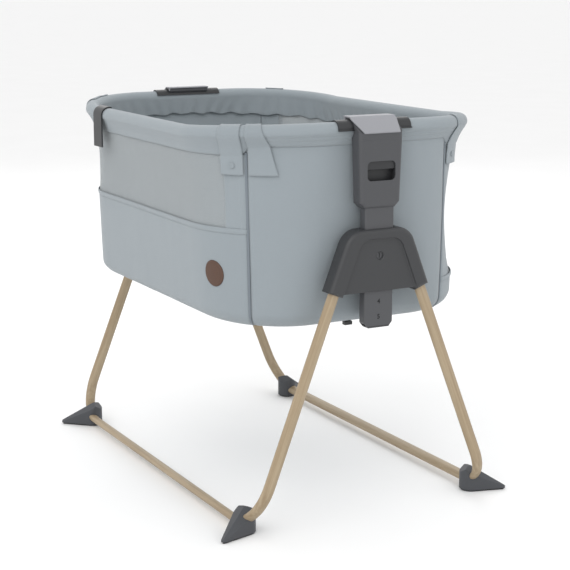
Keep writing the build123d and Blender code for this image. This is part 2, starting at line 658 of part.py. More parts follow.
def trigger():
    """Pull bar that fills the upper part of the window, with a tab back to the rod."""
    front = HOUSING_FRONT_Y - HOUSING_WALL - SEAT_GAP - TRIGGER_GAP
    back = POST_BACK_Y + POST_WALL + TRIGGER_TUB_BACK + TRIGGER_TUB_WALL + TRIGGER_GAP
    half = TRIGGER_WINDOW_WIDTH / 2 - TRIGGER_GAP
    top = TRIGGER_BOTTOM_Z + TRIGGER_HEIGHT
    bar = end_box(half, front, back, TRIGGER_BOTTOM_Z, top)
    bar = fillet(bar.faces().sort_by(Axis.Z)[0].edges().filter_by(Axis.X), TRIGGER_EDGE)
    tab = end_box(ROD_WIDTH / 2, back + 1, rod_front_y(),
                  TRIGGER_BOTTOM_Z + 2, TRIGGER_BOTTOM_Z + TRIGGER_TAB_TOP)
    return bar + tab


def rod_front_y():
    """Distance of the pull rod's front face from the middle."""
    return POST_BACK_Y + POST_WALL + ROD_OFFSET


def pull_rod():
    """Flat rod from the trigger down to the bolt, ending in the slanted cam."""
    front = rod_front_y()
    back = front - ROD_THICKNESS
    cam_top = LATCH_Z + BOLT_HEIGHT / 2
    cam_bottom = LATCH_Z - BOLT_HEIGHT / 2 - TRIGGER_TRAVEL
    shift = BOLT_RATIO * (cam_top - cam_bottom)
    top = TRIGGER_BOTTOM_Z + TRIGGER_TAB_TOP
    points = [
        (-front, top), (-back, top), (-back, cam_top),
        (-back - shift, cam_bottom), (-front - shift, cam_bottom), (-front, cam_top),
    ]
    return profile_yz(points, ROD_WIDTH / 2)


def latch_bolt():
    """Bolt with a slanted slot for the cam and a square nose that faces the rack."""
    front = rod_front_y()
    back = front - ROD_THICKNESS
    low, high = LATCH_Z - BOLT_HEIGHT / 2, LATCH_Z + BOLT_HEIGHT / 2
    body_back = POST_BACK_Y + POST_WALL + LATCH_GAP + 0.2
    body_front = front + BOLT_RATIO * BOLT_HEIGHT + 1.9
    body = end_box(BOLT_WIDTH / 2, body_front, body_back, low, high)
    rack_face = POST_MIDDLE_Y - LINER_HALF_DEPTH
    nose = end_box(BOLT_NOSE / 2, body_back + 1, rack_face + LATCH_GAP, low, high)
    drop = BOLT_RATIO * (BOLT_HEIGHT + 2)
    outer = -front - LATCH_GAP + BOLT_RATIO
    inner = -back + LATCH_GAP + BOLT_RATIO
    points = [(outer, high + 1), (inner, high + 1), (inner - drop, low - 1), (outer - drop, low - 1)]
    return (body + nose) - profile_yz(points, ROD_WIDTH / 2 + LATCH_GAP)


def trigger_springs():
    """Two return springs between the trigger and the shelf."""
    start = TRIGGER_BOTTOM_Z + TRIGGER_HEIGHT + SPRING_WIRE / 2 + SEAT_GAP
    length = SHELF_Z - SPRING_WIRE / 2 - SEAT_GAP - start
    front = HOUSING_FRONT_Y - HOUSING_WALL
    y = -(front + POST_BACK_Y + POST_WALL + TRIGGER_TUB_BACK + TRIGGER_TUB_WALL) / 2
    springs = []
    radius = SPRING_RADIUS - SPRING_WIRE / 2
    for x in (-TRIGGER_WINDOW_WIDTH / 4, TRIGGER_WINDOW_WIDTH / 4):
        path = Helix(pitch=length / SPRING_TURNS, height=length, radius=radius)
        section = Plane(origin=path @ 0, z_dir=path % 0) * Circle(SPRING_WIRE / 2)
        springs.append(Pos(x, y, start) * sweep(section, path=path))
    return springs


# ---------------------------------------------------------------- collar, rail and release flap
def collar_points():
    """Section of the collar in YZ, hooked over the rail."""
    top = HINGE_Z + HINGE_PIN_RADIUS + COLLAR_TOP_COVER
    crest = RIM_HALF_LENGTH + COLLAR_CREST
    return [
        (-HOUSING_FRONT_Y, SEAM_Z + SEAT_GAP), (-HOUSING_FRONT_Y, SEAM_Z + COLLAR_FRONT_RISE),
        (-crest, top),
        (-HINGE_Y, top), (-HINGE_Y + COLLAR_LIP, top - COLLAR_LIP_FALL),
        (-HINGE_Y + COLLAR_LIP, HINGE_Z - COLLAR_LIP),
        (-HOUSING_BACK_Y, SEAM_Z + SEAT_GAP),
    ]


def collar():
    body = profile_yz(collar_points(), HOUSING_HALF_TOP)
    corners = [e for e in body.edges().filter_by(Axis.Z) if e.center().Y < -HOUSING_FRONT_Y + 1]
    body = fillet(corners, HOUSING_EDGE)
    body -= rod(-200, -RIM_HALF_LENGTH, RIM_END_Z, COLLAR_BORE, 400, (1, 0, 0))
    groove = RAIL_FLANGE_THICKNESS / 2 + RAIL_GAP
    body -= end_box(200, RIM_HALF_LENGTH + RAIL_OUTER + RAIL_FLANGE + 2 * RAIL_GAP, RIM_HALF_LENGTH,
                    RIM_END_Z - groove, RIM_END_Z + groove)
    body -= rod(-200, -HINGE_Y, HINGE_Z, HINGE_PIN_RADIUS + HINGE_CLEARANCE, 400, (1, 0, 0))
    return keep_largest(body)


def keep_largest(shape):
    return shape.solids().sort_by(SortBy.VOLUME)[-1]


def rail():
    """Half tube over the rim with a flange that runs in the collar's groove."""
    length = 2 * RAIL_HALF_LENGTH
    tube = rod(-RAIL_HALF_LENGTH, -RIM_HALF_LENGTH, RIM_END_Z, RAIL_OUTER, length, (1, 0, 0))
    tube -= rod(-RAIL_HALF_LENGTH - 1, -RIM_HALF_LENGTH, RIM_END_Z, RAIL_INNER, length + 2, (1, 0, 0))
    half = RAIL_FLANGE_THICKNESS / 2
    reach = 2 * RAIL_OUTER
    inward = RIM_HALF_LENGTH - RAIL_OUTER
    tube &= end_box(RAIL_HALF_LENGTH, RIM_HALF_LENGTH + reach, inward, RIM_END_Z - half, RIM_END_Z + reach)
    low, edge = RIM_END_Z - reach, RIM_END_Z + RAIL_INNER_EDGE
    tube -= end_box(RAIL_HALF_LENGTH + 1, RIM_HALF_LENGTH, inward, low, edge)
    flange = end_box(RAIL_HALF_LENGTH, RIM_HALF_LENGTH + RAIL_OUTER + RAIL_FLANGE,
                     RIM_HALF_LENGTH + RAIL_INNER + 0.5, RIM_END_Z - half, RIM_END_Z + half)
    return drill_rivets(tube + flange)


def flap_outline():
    """Section of the release flap in YZ: flat over the hinge, then sloping down in front."""
    low = collar_points()[1]
    crest = collar_points()[2]
    gap = FLAP_GAP
    t = FLAP_THICKNESS
    run, rise = crest[0] - low[0], crest[1] - low[1]
    length = math.hypot(run, rise)
    nx, nz = -rise / length, run / length
    foot_y = low[0] + nx * gap - run / length * FLAP_OVERHANG
    foot_z = low[1] + nz * gap - rise / length * FLAP_OVERHANG
    inner = -HINGE_Y + COLLAR_LIP + FLAP_OVERHANG
    top = crest[1] + gap
    bend = crest[0] + nx * gap + (top - crest[1] - nz * gap) * run / rise
    outer_bend = bend + nx * t + (t - nz * t) * run / rise
    return [
        (foot_y, foot_z), (bend, top), (inner, top), (inner, top + t),
        (outer_bend, top + t), (foot_y + nx * t, foot_z + nz * t),
    ]


def release_flap():
    """Light grey lever plate with bevelled front corners and two hinge ears."""
    section = flap_outline()
    plate = profile_yz(section, FLAP_HALF_TOP)
    low_z = section[0][1]
    bend_z = section[1][1]
    for side in (-1, 1):
        top, bottom = side * FLAP_HALF_TOP, side * FLAP_HALF_BOTTOM
        outside = top + side * 5
        points = [(bottom, low_z - 3), (outside, low_z - 3), (outside, bend_z - 4), (top, bend_z - 4)]
        plate -= profile_xz(points, -RIM_HALF_LENGTH, -HOUSING_FRONT_Y - 20)
    ear_z = bend_z + FLAP_THICKNESS / 2
    for side in (-1, 1):
        x0 = side * (HOUSING_HALF_TOP + LATCH_GAP)
        x1 = side * FLAP_HALF_TOP
        ear = rod(min(x0, x1), -HINGE_Y, HINGE_Z, HINGE_PIN_RADIUS + 1.5, abs(x1 - x0), (1, 0, 0))
        web = box(x0, x1, -HINGE_Y - 3, -HINGE_Y + 3, HINGE_Z, ear_z)
        plate += ear + web
    plate -= rod(-200, -HINGE_Y, HINGE_Z, HINGE_PIN_RADIUS + HINGE_CLEARANCE, 400, (1, 0, 0))
    return plate


def hinge_pin():
    length = 2 * FLAP_HALF_TOP
    return rod(-FLAP_HALF_TOP, -HINGE_Y, HINGE_Z, HINGE_PIN_RADIUS, length, (1, 0, 0))


# ---------------------------------------------------------------- basket
def rim_path(side):
    """Half of the rim's centre line, from the near end's middle round to the far end's middle."""
    x = side * RIM_HALF_WIDTH
    gap = side * RIM_JOINT_GAP / 2
    points = [
        Vector(gap, -RIM_HALF_LENGTH, RIM_END_Z), Vector(x, -RIM_HALF_LENGTH, RIM_END_Z),
        Vector(x, -RIM_DIP_Y, RIM_SIDE_Z), Vector(x, RIM_DIP_Y, RIM_SIDE_Z),
        Vector(x, RIM_HALF_LENGTH, RIM_END_Z), Vector(gap, RIM_HALF_LENGTH, RIM_END_Z),
    ]
    run = math.hypot(RIM_HALF_LENGTH - RIM_DIP_Y, RIM_END_Z - RIM_SIDE_Z)
    corner = min(RIM_CORNER, run - 8)
    turn = math.atan((RIM_END_Z - RIM_SIDE_Z) / (RIM_HALF_LENGTH - RIM_DIP_Y))
    dip = (run - corner) * 0.8 / math.tan(turn / 2)
    return FilletPolyline(*points, radius=[corner, dip, dip, corner])


def rim_sweep(side, radius):
    start = Plane(origin=(side * RIM_JOINT_GAP / 2, -RIM_HALF_LENGTH, RIM_END_Z), z_dir=(side, 0, 0))
    return sweep(start * Circle(radius), path=rim_path(side))


def drill_rivets(shape):
    for end in (-1, 1):
        for hole in rail_rivets(end, SEAT_GAP):
            shape -= hole
    return shape


def rim_tube(side):
    tube = rim_sweep(side, RIM_TUBE_RADIUS) - rim_sweep(side, RIM_TUBE_RADIUS - RIM_TUBE_WALL)
    return drill_rivets(tube)


def rim_cover(side):
    cover = rim_sweep(side, RIM_COVER_RADIUS) - rim_sweep(side, RIM_TUBE_RADIUS + SEAT_GAP)
    return drill_rivets(cover)


def basket_loft(offset):
    """Solid inside the basket's outer face, moved outward by the offset."""
    low = rounded_plan(BASE_HALF_WIDTH + offset, BASE_HALF_LENGTH + offset, BASE_CORNER + offset, BASE_Z)
    high = rounded_plan(
        WALL_TOP_HALF_WIDTH + offset, WALL_TOP_HALF_LENGTH + offset, WALL_TOP_CORNER + offset, WALL_TOP_Z
    )
    return loft([low, high], ruled=True)


def corner_centre():
    return (BASE_HALF_WIDTH - BASE_CORNER, BASE_HALF_LENGTH - BASE_CORNER)


def seam_gap(side, end, width):
    """Slab through one corner seam, along the bisector of the corner."""
    x, y = corner_centre()
    angle = math.degrees(math.atan2(end, side))
    slab = Pos(300, 0, 560) * Box(600, width, 500)
    return Pos(side * x, end * y, 0) * Rot(0, 0, angle) * slab


def end_wedge(end):
    """Everything that lies beyond one end's two corner seams."""
    x, y = corner_centre()
    reach = 500
    points = [(-x, end * y), (-x - reach, end * (y + reach)), (x + reach, end * (y + reach)), (x, end * y)]
    face = Plane.XY * make_face(Polyline(*points, close=True))
    return Pos(0, 0, 300) * extrude(face, 500, dir=(0, 0, 1))


def wall_shell():
    shell = basket_loft(0) - basket_loft(-WALL_THICKNESS)
    for side in (-1, 1):
        shell -= rim_sweep(side, RIM_COVER_RADIUS + SLIDE_GAP)
        for end in (-1, 1):
            shell -= seam_gap(side, end, ZIP_WIDTH)
    return shell & box(-400, 400, -500, 500, BASE_Z, RIM_END_Z - RIM_COVER_RADIUS + 6)


def end_wall(shell, end):
    return keep_largest(shell & end_wedge(end))


def side_wall(shell, side, z0, z1):
    rest = shell & box(0, side * 400, -500, 500, z0, z1)
    rest = rest - end_wedge(-1) - end_wedge(1)
    return keep_largest(rest)


def zip_strip(side, end):
    """Zip along one corner seam, as a slim strip that follows the wall's slope."""
    wall = basket_loft(0.3 + ZIP_THICKNESS - 1.5) - basket_loft(-1.5)
    strip = wall & seam_gap(side, end, ZIP_WIDTH - 2 * PANEL_GAP)
    strip = strip & box(-400, 400, -500, 500, BASE_Z + 6, RIM_SIDE_Z - RIM_COVER_RADIUS - 8)
    return keep_largest(strip)


def corner_tab(side, end, which):
    """Fabric tab that hangs from the rim beside a corner seam."""
    x, y = corner_centre()
    skin = basket_loft(LATCH_GAP + TAB_THICKNESS) - basket_loft(LATCH_GAP)
    skin = skin & box(-400, 400, -500, 500, TAB_BOTTOM_Z, RIM_SIDE_Z - RIM_COVER_RADIUS - 4)
    start = math.degrees(math.atan2(end, side)) + which * (TAB_OFFSET_ANGLE + TAB_ANGLE / 2)
    half = math.tan(math.radians(TAB_ANGLE / 2)) * 600
    face = Plane.XY * make_face(Polyline((0, 0), (600, -half), (600, half), close=True))
    wedge = Pos(side * x, end * y, 500) * Rot(0, 0, start) * extrude(face, 400, dir=(0, 0, 1))
    return keep_largest(skin & wedge)


def base_plan(inset, z):
    """Outline of the base at one height, moved inward from the fabric's outer face."""
    return rounded_plan(BASE_HALF_WIDTH - inset, BASE_HALF_LENGTH - inset, BASE_CORNER - inset, z)


def base_ring():
    path = base_plan(BASE_TUBE_INSET, BASE_Z + BASE_CLOTH_GAP + BASE_TUBE_RADIUS).face().outer_wire()
    start = Plane(origin=path @ 0, z_dir=path % 0)
    return sweep(start * Circle(BASE_TUBE_RADIUS), path=path)


def base_cloth():
    """Cloth under the base, with its edge where the walls are sewn on."""
    plan = base_plan(WALL_THICKNESS + SLIDE_GAP, BASE_Z)
    return extrude(plan, BASE_CLOTH_THICKNESS)


def board_bottom_z():
    return BASE_Z + BASE_CLOTH_GAP + 2 * BASE_TUBE_RADIUS + SEAT_GAP


def base_board():
    return extrude(base_plan(BOARD_INSET, board_bottom_z()), BOARD_THICKNESS)


def mattress():
    plan = base_plan(MATTRESS_INSET, board_bottom_z() + BOARD_THICKNESS + SLIDE_GAP)
    pad = extrude(plan, MATTRESS_THICKNESS)
    return fillet(pad.faces().sort_by(Axis.Z)[-1].edges(), MATTRESS_CORNER_EDGE)


def badge():
    """Round leather badge on the lower wall beside the near left corner."""
    x, y = corner_centre()
    share = (BADGE_Z - BASE_Z) / (WALL_TOP_Z - BASE_Z)
    x += share * (WALL_TOP_HALF_WIDTH - WALL_TOP_CORNER - x)
    y += share * (WALL_TOP_HALF_LENGTH - WALL_TOP_CORNER - y)
    radius = BASE_CORNER + share * (WALL_TOP_CORNER - BASE_CORNER)
    angle = math.radians(180 + BADGE_ANGLE)
    out = Vector(math.cos(angle), math.sin(angle), 0)
    at = Vector(-x, -y, BADGE_Z) + out * radius
    disc = extrude(Plane(origin=at - out * 8, x_dir=(0, 0, 1), z_dir=out) * Circle(BADGE_DIAMETER / 2), 20)
    skin = basket_loft(SLIDE_GAP + BADGE_THICKNESS) - basket_loft(SLIDE_GAP)
    return keep_largest(disc & skin)


def side_hook():
    """Thin hook over the left rim that hangs down outside the basket."""
    outer = RIM_COVER_RADIUS + SLIDE_GAP + HOOK_THICKNESS
    inner = RIM_COVER_RADIUS + SLIDE_GAP
    x = -RIM_HALF_WIDTH
    ring = rod(x, HOOK_Y - HOOK_WIDTH / 2, RIM_SIDE_Z, outer, HOOK_WIDTH, (0, 1, 0))
    ring -= rod(x, HOOK_Y - HOOK_WIDTH / 2 - 1, RIM_SIDE_Z, inner, HOOK_WIDTH + 2, (0, 1, 0))
    top = box(x - 60, x + 6, HOOK_Y - 40, HOOK_Y + 40, RIM_SIDE_Z, RIM_SIDE_Z + 40)
    hook = ring & top
    tongue = box(x - outer, x - inner, HOOK_Y - HOOK_WIDTH / 2, HOOK_Y + HOOK_WIDTH / 2,
                 RIM_SIDE_Z + outer - HOOK_DROP, RIM_SIDE_Z)
    return hook + tongue


def base_clip(end):
    width, depth, height = CLIP_SIZE
    y = BASE_HALF_LENGTH - CLIP_INSET - depth / 2
    return Pos(CLIP_X, end * y, BASE_Z - SEAT_GAP - height / 2) * Box(width, depth, height)


def rail_rivets(end, growth):
    """Rivets that hold a rail to the rim tube, from above."""
    length = RAIL_OUTER - RIVET_HEAD_COVER + growth
    radius = RIVET_RADIUS + growth
    y = end * RIM_HALF_LENGTH
    return [rod(side * RIVET_X, y, RIM_END_Z, radius, length, (0, 0, 1)) for side in (-1, 1)]


# ---------------------------------------------------------------- build
def build_stand():
    names = {-1: "left", 1: "right"}
    ends = {-1: "near", 1: "far"}
    for side in (-1, 1):
        save(names[side] + "_leg_frame", leg_frame(side))
        for end in (-1, 1):
            save(ends[end] + "_" + names[side] + "_foot", foot(side, end))
    corners = [(side, end) for side in (-1, 1) for end in (-1, 1)]
    save("sole_pads", group([sole_pad(*corner) for corner in corners]))
    save("foot_screws", group([foot_screw(*corner) for corner in corners]))
    pins = [leg_pin(-1), leg_pin(1)]
    save("leg_pins", group(pins + [far(pin) for pin in pins]))
    screws = hub_screws()
    save("hub_screws", group(screws + [far(screw) for screw in screws]))


def build_ends():
    own_nodes = {
        "hub_cover": hub_cover(), "hub_back": hub_back(), "post": post(), "housing": housing(),
        "trigger": trigger(), "pull_rod": pull_rod(), "latch_bolt": latch_bolt(),
        "collar": collar(), "slide_rail": rail(), "release_flap": release_flap(),
    }
    for name, piece in own_nodes.items():
        save("near_" + name, piece)
        save("far_" + name, far(piece))
    shared_nodes = {
        "slide_liners": liner(), "latch_racks": latch_rack(), "post_plugs": post_plug(),
        "housing_backs": housing_back(), "trigger_frames": trigger_frame(), "hinge_pins": hinge_pin(),
    }
    for name, piece in shared_nodes.items():
        save(name, group([piece, far(piece)]))
    springs = trigger_springs()
    save("near_trigger_springs", group(springs))
    save("far_trigger_springs", group([far(spring) for spring in springs]))
    screws = housing_screws()
    save("housing_screws", group(screws + [far(screw) for screw in screws]))


def build_basket():
    for side, name in ((-1, "left"), (1, "right")):
        save(name + "_rim_tube", rim_tube(side))
        save(name + "_rim_cover", rim_cover(side))
    shell = wall_shell()
    save("near_end_wall", end_wall(shell, -1))
    save("far_end_wall", end_wall(shell, 1))
    top = WALL_TOP_Z + 10
    save("left_lower_wall", side_wall(shell, -1, BASE_Z - 1, LEFT_MESH_Z))
    save("right_lower_wall", side_wall(shell, 1, BASE_Z - 1, RIGHT_MESH_Z))
    save("left_mesh_panel", side_wall(shell, -1, LEFT_MESH_Z + PANEL_GAP, top))
    save("right_mesh_panel", side_wall(shell, 1, RIGHT_MESH_Z + PANEL_GAP, top))
    corners = [(side, end) for side in (-1, 1) for end in (-1, 1)]
    save("corner_zips", group([zip_strip(*corner) for corner in corners]))
    save("corner_tabs", group([corner_tab(*corner, which) for corner in corners for which in (-1, 1)]))
    save("base_ring", base_ring())
    save("base_board", base_board())
    save("base_cloth", base_cloth())
    save("mattress", mattress())
    save("badge", badge())
    save("side_hook", side_hook())
    save("base_clips", group([base_clip(-1), base_clip(1)]))
    save("rail_rivets", group(rail_rivets(-1, 0) + rail_rivets(1, 0)))


build_stand()
build_ends()
build_basket()
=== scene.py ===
import json
import math

import bpy
from mathutils import Matrix, Vector, noise

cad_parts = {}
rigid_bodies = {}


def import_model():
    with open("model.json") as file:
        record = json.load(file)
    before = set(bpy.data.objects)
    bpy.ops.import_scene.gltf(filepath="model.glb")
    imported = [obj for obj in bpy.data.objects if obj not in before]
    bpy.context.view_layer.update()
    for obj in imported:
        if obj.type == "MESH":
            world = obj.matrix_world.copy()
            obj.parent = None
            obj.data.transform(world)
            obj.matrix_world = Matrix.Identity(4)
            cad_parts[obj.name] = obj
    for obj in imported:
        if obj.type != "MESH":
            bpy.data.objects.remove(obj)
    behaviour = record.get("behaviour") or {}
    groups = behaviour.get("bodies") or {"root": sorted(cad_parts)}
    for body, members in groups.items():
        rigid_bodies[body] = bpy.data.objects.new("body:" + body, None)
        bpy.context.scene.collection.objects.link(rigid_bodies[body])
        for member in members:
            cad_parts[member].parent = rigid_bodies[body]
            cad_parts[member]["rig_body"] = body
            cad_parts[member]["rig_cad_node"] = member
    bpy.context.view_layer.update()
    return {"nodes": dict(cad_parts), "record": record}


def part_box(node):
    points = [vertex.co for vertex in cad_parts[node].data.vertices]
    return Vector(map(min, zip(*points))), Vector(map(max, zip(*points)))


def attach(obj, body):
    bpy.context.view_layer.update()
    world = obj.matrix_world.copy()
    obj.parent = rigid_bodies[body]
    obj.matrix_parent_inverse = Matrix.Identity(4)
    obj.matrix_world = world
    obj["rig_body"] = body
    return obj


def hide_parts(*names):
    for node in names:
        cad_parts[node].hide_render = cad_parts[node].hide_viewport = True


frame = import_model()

bl_info = {
    "name": "Bassinet on stand",
    "version": (1, 0, 0),
    "blender": (4, 5, 0),
    "location": "View3D > Sidebar > Bassinet",
    "description": "Sewn cover, mattress, finishes and studio for a bedside bassinet on a stand",
    "category": "Object",
}

BASE_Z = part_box("left_lower_wall")[0].z
FLOOR_GAP = 0.0002
SEAM_BLEND = 0.004        # how quickly the cover changes from end to side at a corner seam
SEAM_GAP = 0.0006
END_COVER_TOP = 0.7335
INNER_DROP = 0.036        # mean fall of the sleeve's gathered inner edge
NETTING_RISE = 9.0        # how soon the netting reaches its full pull, beside its borders
STUD_FROM_SEAM = 0.024
STUD_Z = 0.682
MATTRESS_BULGE = 0.009    # the most that a point of the mattress may swell
CHANNEL_PITCH = 0.13
LEVELS = 5
LEVEL_PITCH = 0.029
TOP_LEVEL_Z = 0.5125

# Reference outline that spreads every seam and weave evenly round the basket, in metres
REFERENCE = (0.093, 0.218, 0.186)
QUARTER = math.pi / 2 * REFERENCE[2]
SPANS = (
    REFERENCE[0], QUARTER, 2 * REFERENCE[1], QUARTER, 2 * REFERENCE[0],
    QUARTER, 2 * REFERENCE[1], QUARTER, REFERENCE[0],
)
GIRTH = sum(SPANS)
# Where the right seams lie on their corners' arcs; the left ones lie at the middle
RIGHT_SEAM_ON_CORNER = 0.32
# Corner seams, as shares of the way round from the near end's middle, anticlockwise from above
SEAM_NEAR_RIGHT = (REFERENCE[0] + QUARTER * RIGHT_SEAM_ON_CORNER) / GIRTH
SEAM_FAR_RIGHT = 0.5 - SEAM_NEAR_RIGHT
SEAM_NEAR_LEFT = 1.0 - (REFERENCE[0] + QUARTER / 2) / GIRTH
SEAM_FAR_LEFT = 1.5 - SEAM_NEAR_LEFT
SEAMS = (SEAM_NEAR_RIGHT, SEAM_FAR_RIGHT, SEAM_FAR_LEFT, SEAM_NEAR_LEFT)


# ------------------------------------------------------------------ sizes and colours
def length(name, text, value):
    return bpy.props.FloatProperty(name=name, description=text, default=value, unit="LENGTH", precision=4)


def colour(name, text, value):
    linear = tuple(((c / 255) / 12.92 if c < 11 else ((c / 255 + 0.055) / 1.055) ** 2.4) for c in value)
    return bpy.props.FloatVectorProperty(
        name=name, description=text, default=linear, subtype="COLOR", min=0, max=1
    )


class BassinetSizes(bpy.types.PropertyGroup):
    base_half_width: length("Base half width", "Outer face of the cover at the bottom, across", 0.268)
    base_half_length: length("Base half length", "Outer face of the cover at the bottom, along", 0.397)
    base_corner: length("Base corner", "Corner radius of the cover at the bottom", 0.165)
    top_half_width: length("Top half width", "Outer face of the cover under the rim, across", 0.289)
    top_half_length: length("Top half length", "Outer face of the cover under the rim, along", 0.410)
    top_corner: length("Top corner", "Corner radius of the cover under the rim", 0.206)
    top_z: length("Top height", "Height at which the top outline is taken", 0.738)
    rim_half_width: length("Rim half width", "Rim centre line, across", 0.287)
    rim_half_length: length("Rim half length", "Rim centre line, along", 0.408)
    rim_corner: length("Rim corner", "Corner radius of the rim", 0.1863)
    rim_end_z: length("Rim height at the ends", "Centre line of the rim at both ends", 0.7445)
    rim_side_z: length("Rim height at the sides", "Centre line of the rim along the sides", 0.7335)
    rim_dip_y: length("Rim dip", "Distance from the middle where the rim begins to rise", 0.214)
    sleeve_radius: length("Sleeve radius", "Outer radius of the padded sleeve on the rim", 0.0149)
    side_band_z: length("Side band seam", "Lower seam of the rim sleeve on the sides", 0.699)
    end_band_z: length("End band seam", "Lower seam of the rim sleeve at the ends", 0.717)
    left_mesh_z: length("Left mesh edge", "Lower edge of the mesh on the left", 0.560)
    right_mesh_z: length("Right mesh edge", "Lower edge of the mesh on the right", 0.437)
    roll_out: length("Bottom roll at the ends", "How far the cover turns in under the base", 0.028)
    roll_side: length("Bottom roll on the left", "Extra turn on the low side", 0.020)
    roll_up: length("Bottom roll height", "Height over which the cover turns in", 0.030)
    tab_z: length("Tab end", "Lower end of the corner tabs", 0.664)
    cloth: length("Cloth thickness", "Thickness of the sewn cover", 0.0014)
    badge_radius: length("Badge radius", "Radius of the leather badge", 0.025)


class BassinetColours(bpy.types.PropertyGroup):
    cover: colour("Cover", "Woven cover", (141, 149, 154))
    netting: colour("Netting", "Breathable mesh", (151, 157, 160))
    tape: colour("Tape", "Zip and hem tape", (118, 126, 133))
    bedding: colour("Bedding", "Mattress cover", (214, 216, 216))
    ash: colour("Leg coat", "Light grain of the wood-look coat", (170, 153, 127))
    ash_dark: colour("Leg coat grain", "Dark grain of the wood-look coat", (144, 125, 98))
    shell: colour("Housing", "Housing plastic", (70, 71, 74))
    hub: colour("Hub", "Hub plastic", (54, 55, 57))
    foot: colour("Foot", "Foot plastic", (67, 69, 73))
    flap: colour("Flap", "Release flap plastic", (140, 141, 146))
    dark: colour("Dark parts", "Rails, trigger and hook", (42, 43, 45))
    hide: colour("Badge", "Badge leather", (80, 55, 41))


def sizes():
    return bpy.context.scene.bassinet_sizes


def colours():
    return bpy.context.scene.bassinet_colours


# ------------------------------------------------------------------ finishes
class Value:
    """A shader socket that takes part in Python arithmetic."""

    def __init__(self, look, socket):
        self.look = look
        self.socket = socket

    def _math(self, operation, first, second):
        return self.look.node("ShaderNodeMath", {"operation": operation}, {0: first, 1: second})

    def __add__(self, other):
        return self._math("ADD", self, other)

    __radd__ = __add__

    def __sub__(self, other):
        return self._math("SUBTRACT", self, other)

    def __rsub__(self, other):
        return self._math("SUBTRACT", other, self)

    def __mul__(self, other):
        return self._math("MULTIPLY", self, other)

    __rmul__ = __mul__

    def above(self, limit):
        return self._math("GREATER_THAN", self, limit)

    def wave(self):
        """Sine of the value, from 0 to 1."""
        return self._math("SINE", self, 0) * 0.5 + 0.5


class Look:
    """One material under construction."""

    def __init__(self, name, **uniform):
        self.material = bpy.data.materials.new(name)
        self.material.use_nodes = True
        self.tree = self.material.node_tree
        self.surface = self.tree.nodes["Principled BSDF"]
        for socket, value in uniform.items():
            self.surface.inputs[socket.replace("_", " ")].default_value = value

    def node(self, kind, settings=None, inputs=None, output=0):
        made = self.tree.nodes.new(kind)
        for key, value in (settings or {}).items():
            if key == "stops":
                for stop, (place, shade) in zip(made.color_ramp.elements, value):
                    stop.position = place
                    stop.color = shade
            else:
                setattr(made, key, value)
        for key, value in (inputs or {}).items():
            self.feed(made.inputs[key], value)
        return Value(self, made.outputs[output])

    def feed(self, socket, value):
        if isinstance(value, Value):
            self.tree.links.new(value.socket, socket)
        else:
            socket.default_value = value

    def feeds(self, name, value):
        self.feed(self.surface.inputs[name], value)

    def place(self, stretch=(1, 1, 1), turn=(0, 0, 0), source="Object"):
        output = {"Object": 3, "UV": 2}[source]
        spot = self.node("ShaderNodeTexCoord", output=output)
        return self.node("ShaderNodeMapping", {}, {0: spot, 2: turn, 3: stretch})

    def axes(self, spot):
        split = self.node("ShaderNodeSeparateXYZ", {}, {0: spot})
        tree_node = split.socket.node
        return [Value(self, tree_node.outputs[i]) for i in range(3)]

    def grain(self, spot, scale, detail=2.0, roughness=0.5):
        inputs = {0: spot, "Scale": scale, "Detail": detail, "Roughness": roughness}
        return self.node("ShaderNodeTexNoise", {}, inputs)

    def blend(self, share, first, second):
        made = self.tree.nodes.new("ShaderNodeMix")
        made.data_type = "RGBA"
        self.feed(made.inputs[0], share)
        self.feed(made.inputs[6], first)
        self.feed(made.inputs[7], second)
        return Value(self, made.outputs[2])

    def raise_by(self, height, distance, strength=1.0):
        bump = self.node("ShaderNodeBump", {}, {"Strength": strength, "Distance": distance, "Height": height})
        self.feeds("Normal", bump)


def shade(value, factor):
    return (*[min(1.0, c * factor) for c in value], 1.0)


def moulded(name, value, roughness=0.52, texture=0.00006):
    """Injection-moulded plastic with a fine spark texture and slight handling wear."""
    look = Look(name, IOR=1.46)
    spot = look.place()
    fine = look.grain(spot, 1500.0, 3.0, 0.6)
    cloudy = look.grain(spot, 22.0, 3.0)
    look.feeds("Base Color", look.blend(cloudy, shade(value, 0.95), shade(value, 1.05)))
    look.feeds("Roughness", cloudy * 0.10 + fine * 0.06 + (roughness - 0.08))
    look.raise_by(fine, texture)
    return look.material


def steel(name, value, roughness):
    look = Look(name, Metallic=1.0)
    brushed = look.grain(look.place((1, 1, 12)), 260.0, 3.0)
    look.feeds("Base Color", look.blend(brushed, shade(value, 0.9), shade(value, 1.08)))
    look.feeds("Roughness", brushed * 0.18 + (roughness - 0.09))
    look.raise_by(brushed, 0.00002)
    return look.material


def coated(name, value):
    """Powder coat: slight orange peel."""
    look = Look(name, IOR=1.5)
    spot = look.place()
    peel = look.grain(spot, 420.0, 2.0)
    look.feeds("Base Color", look.blend(look.grain(spot, 15.0), shade(value, 0.96), shade(value, 1.04)))
    look.feeds("Roughness", peel * 0.10 + 0.40)
    look.raise_by(peel, 0.00008)
    return look.material


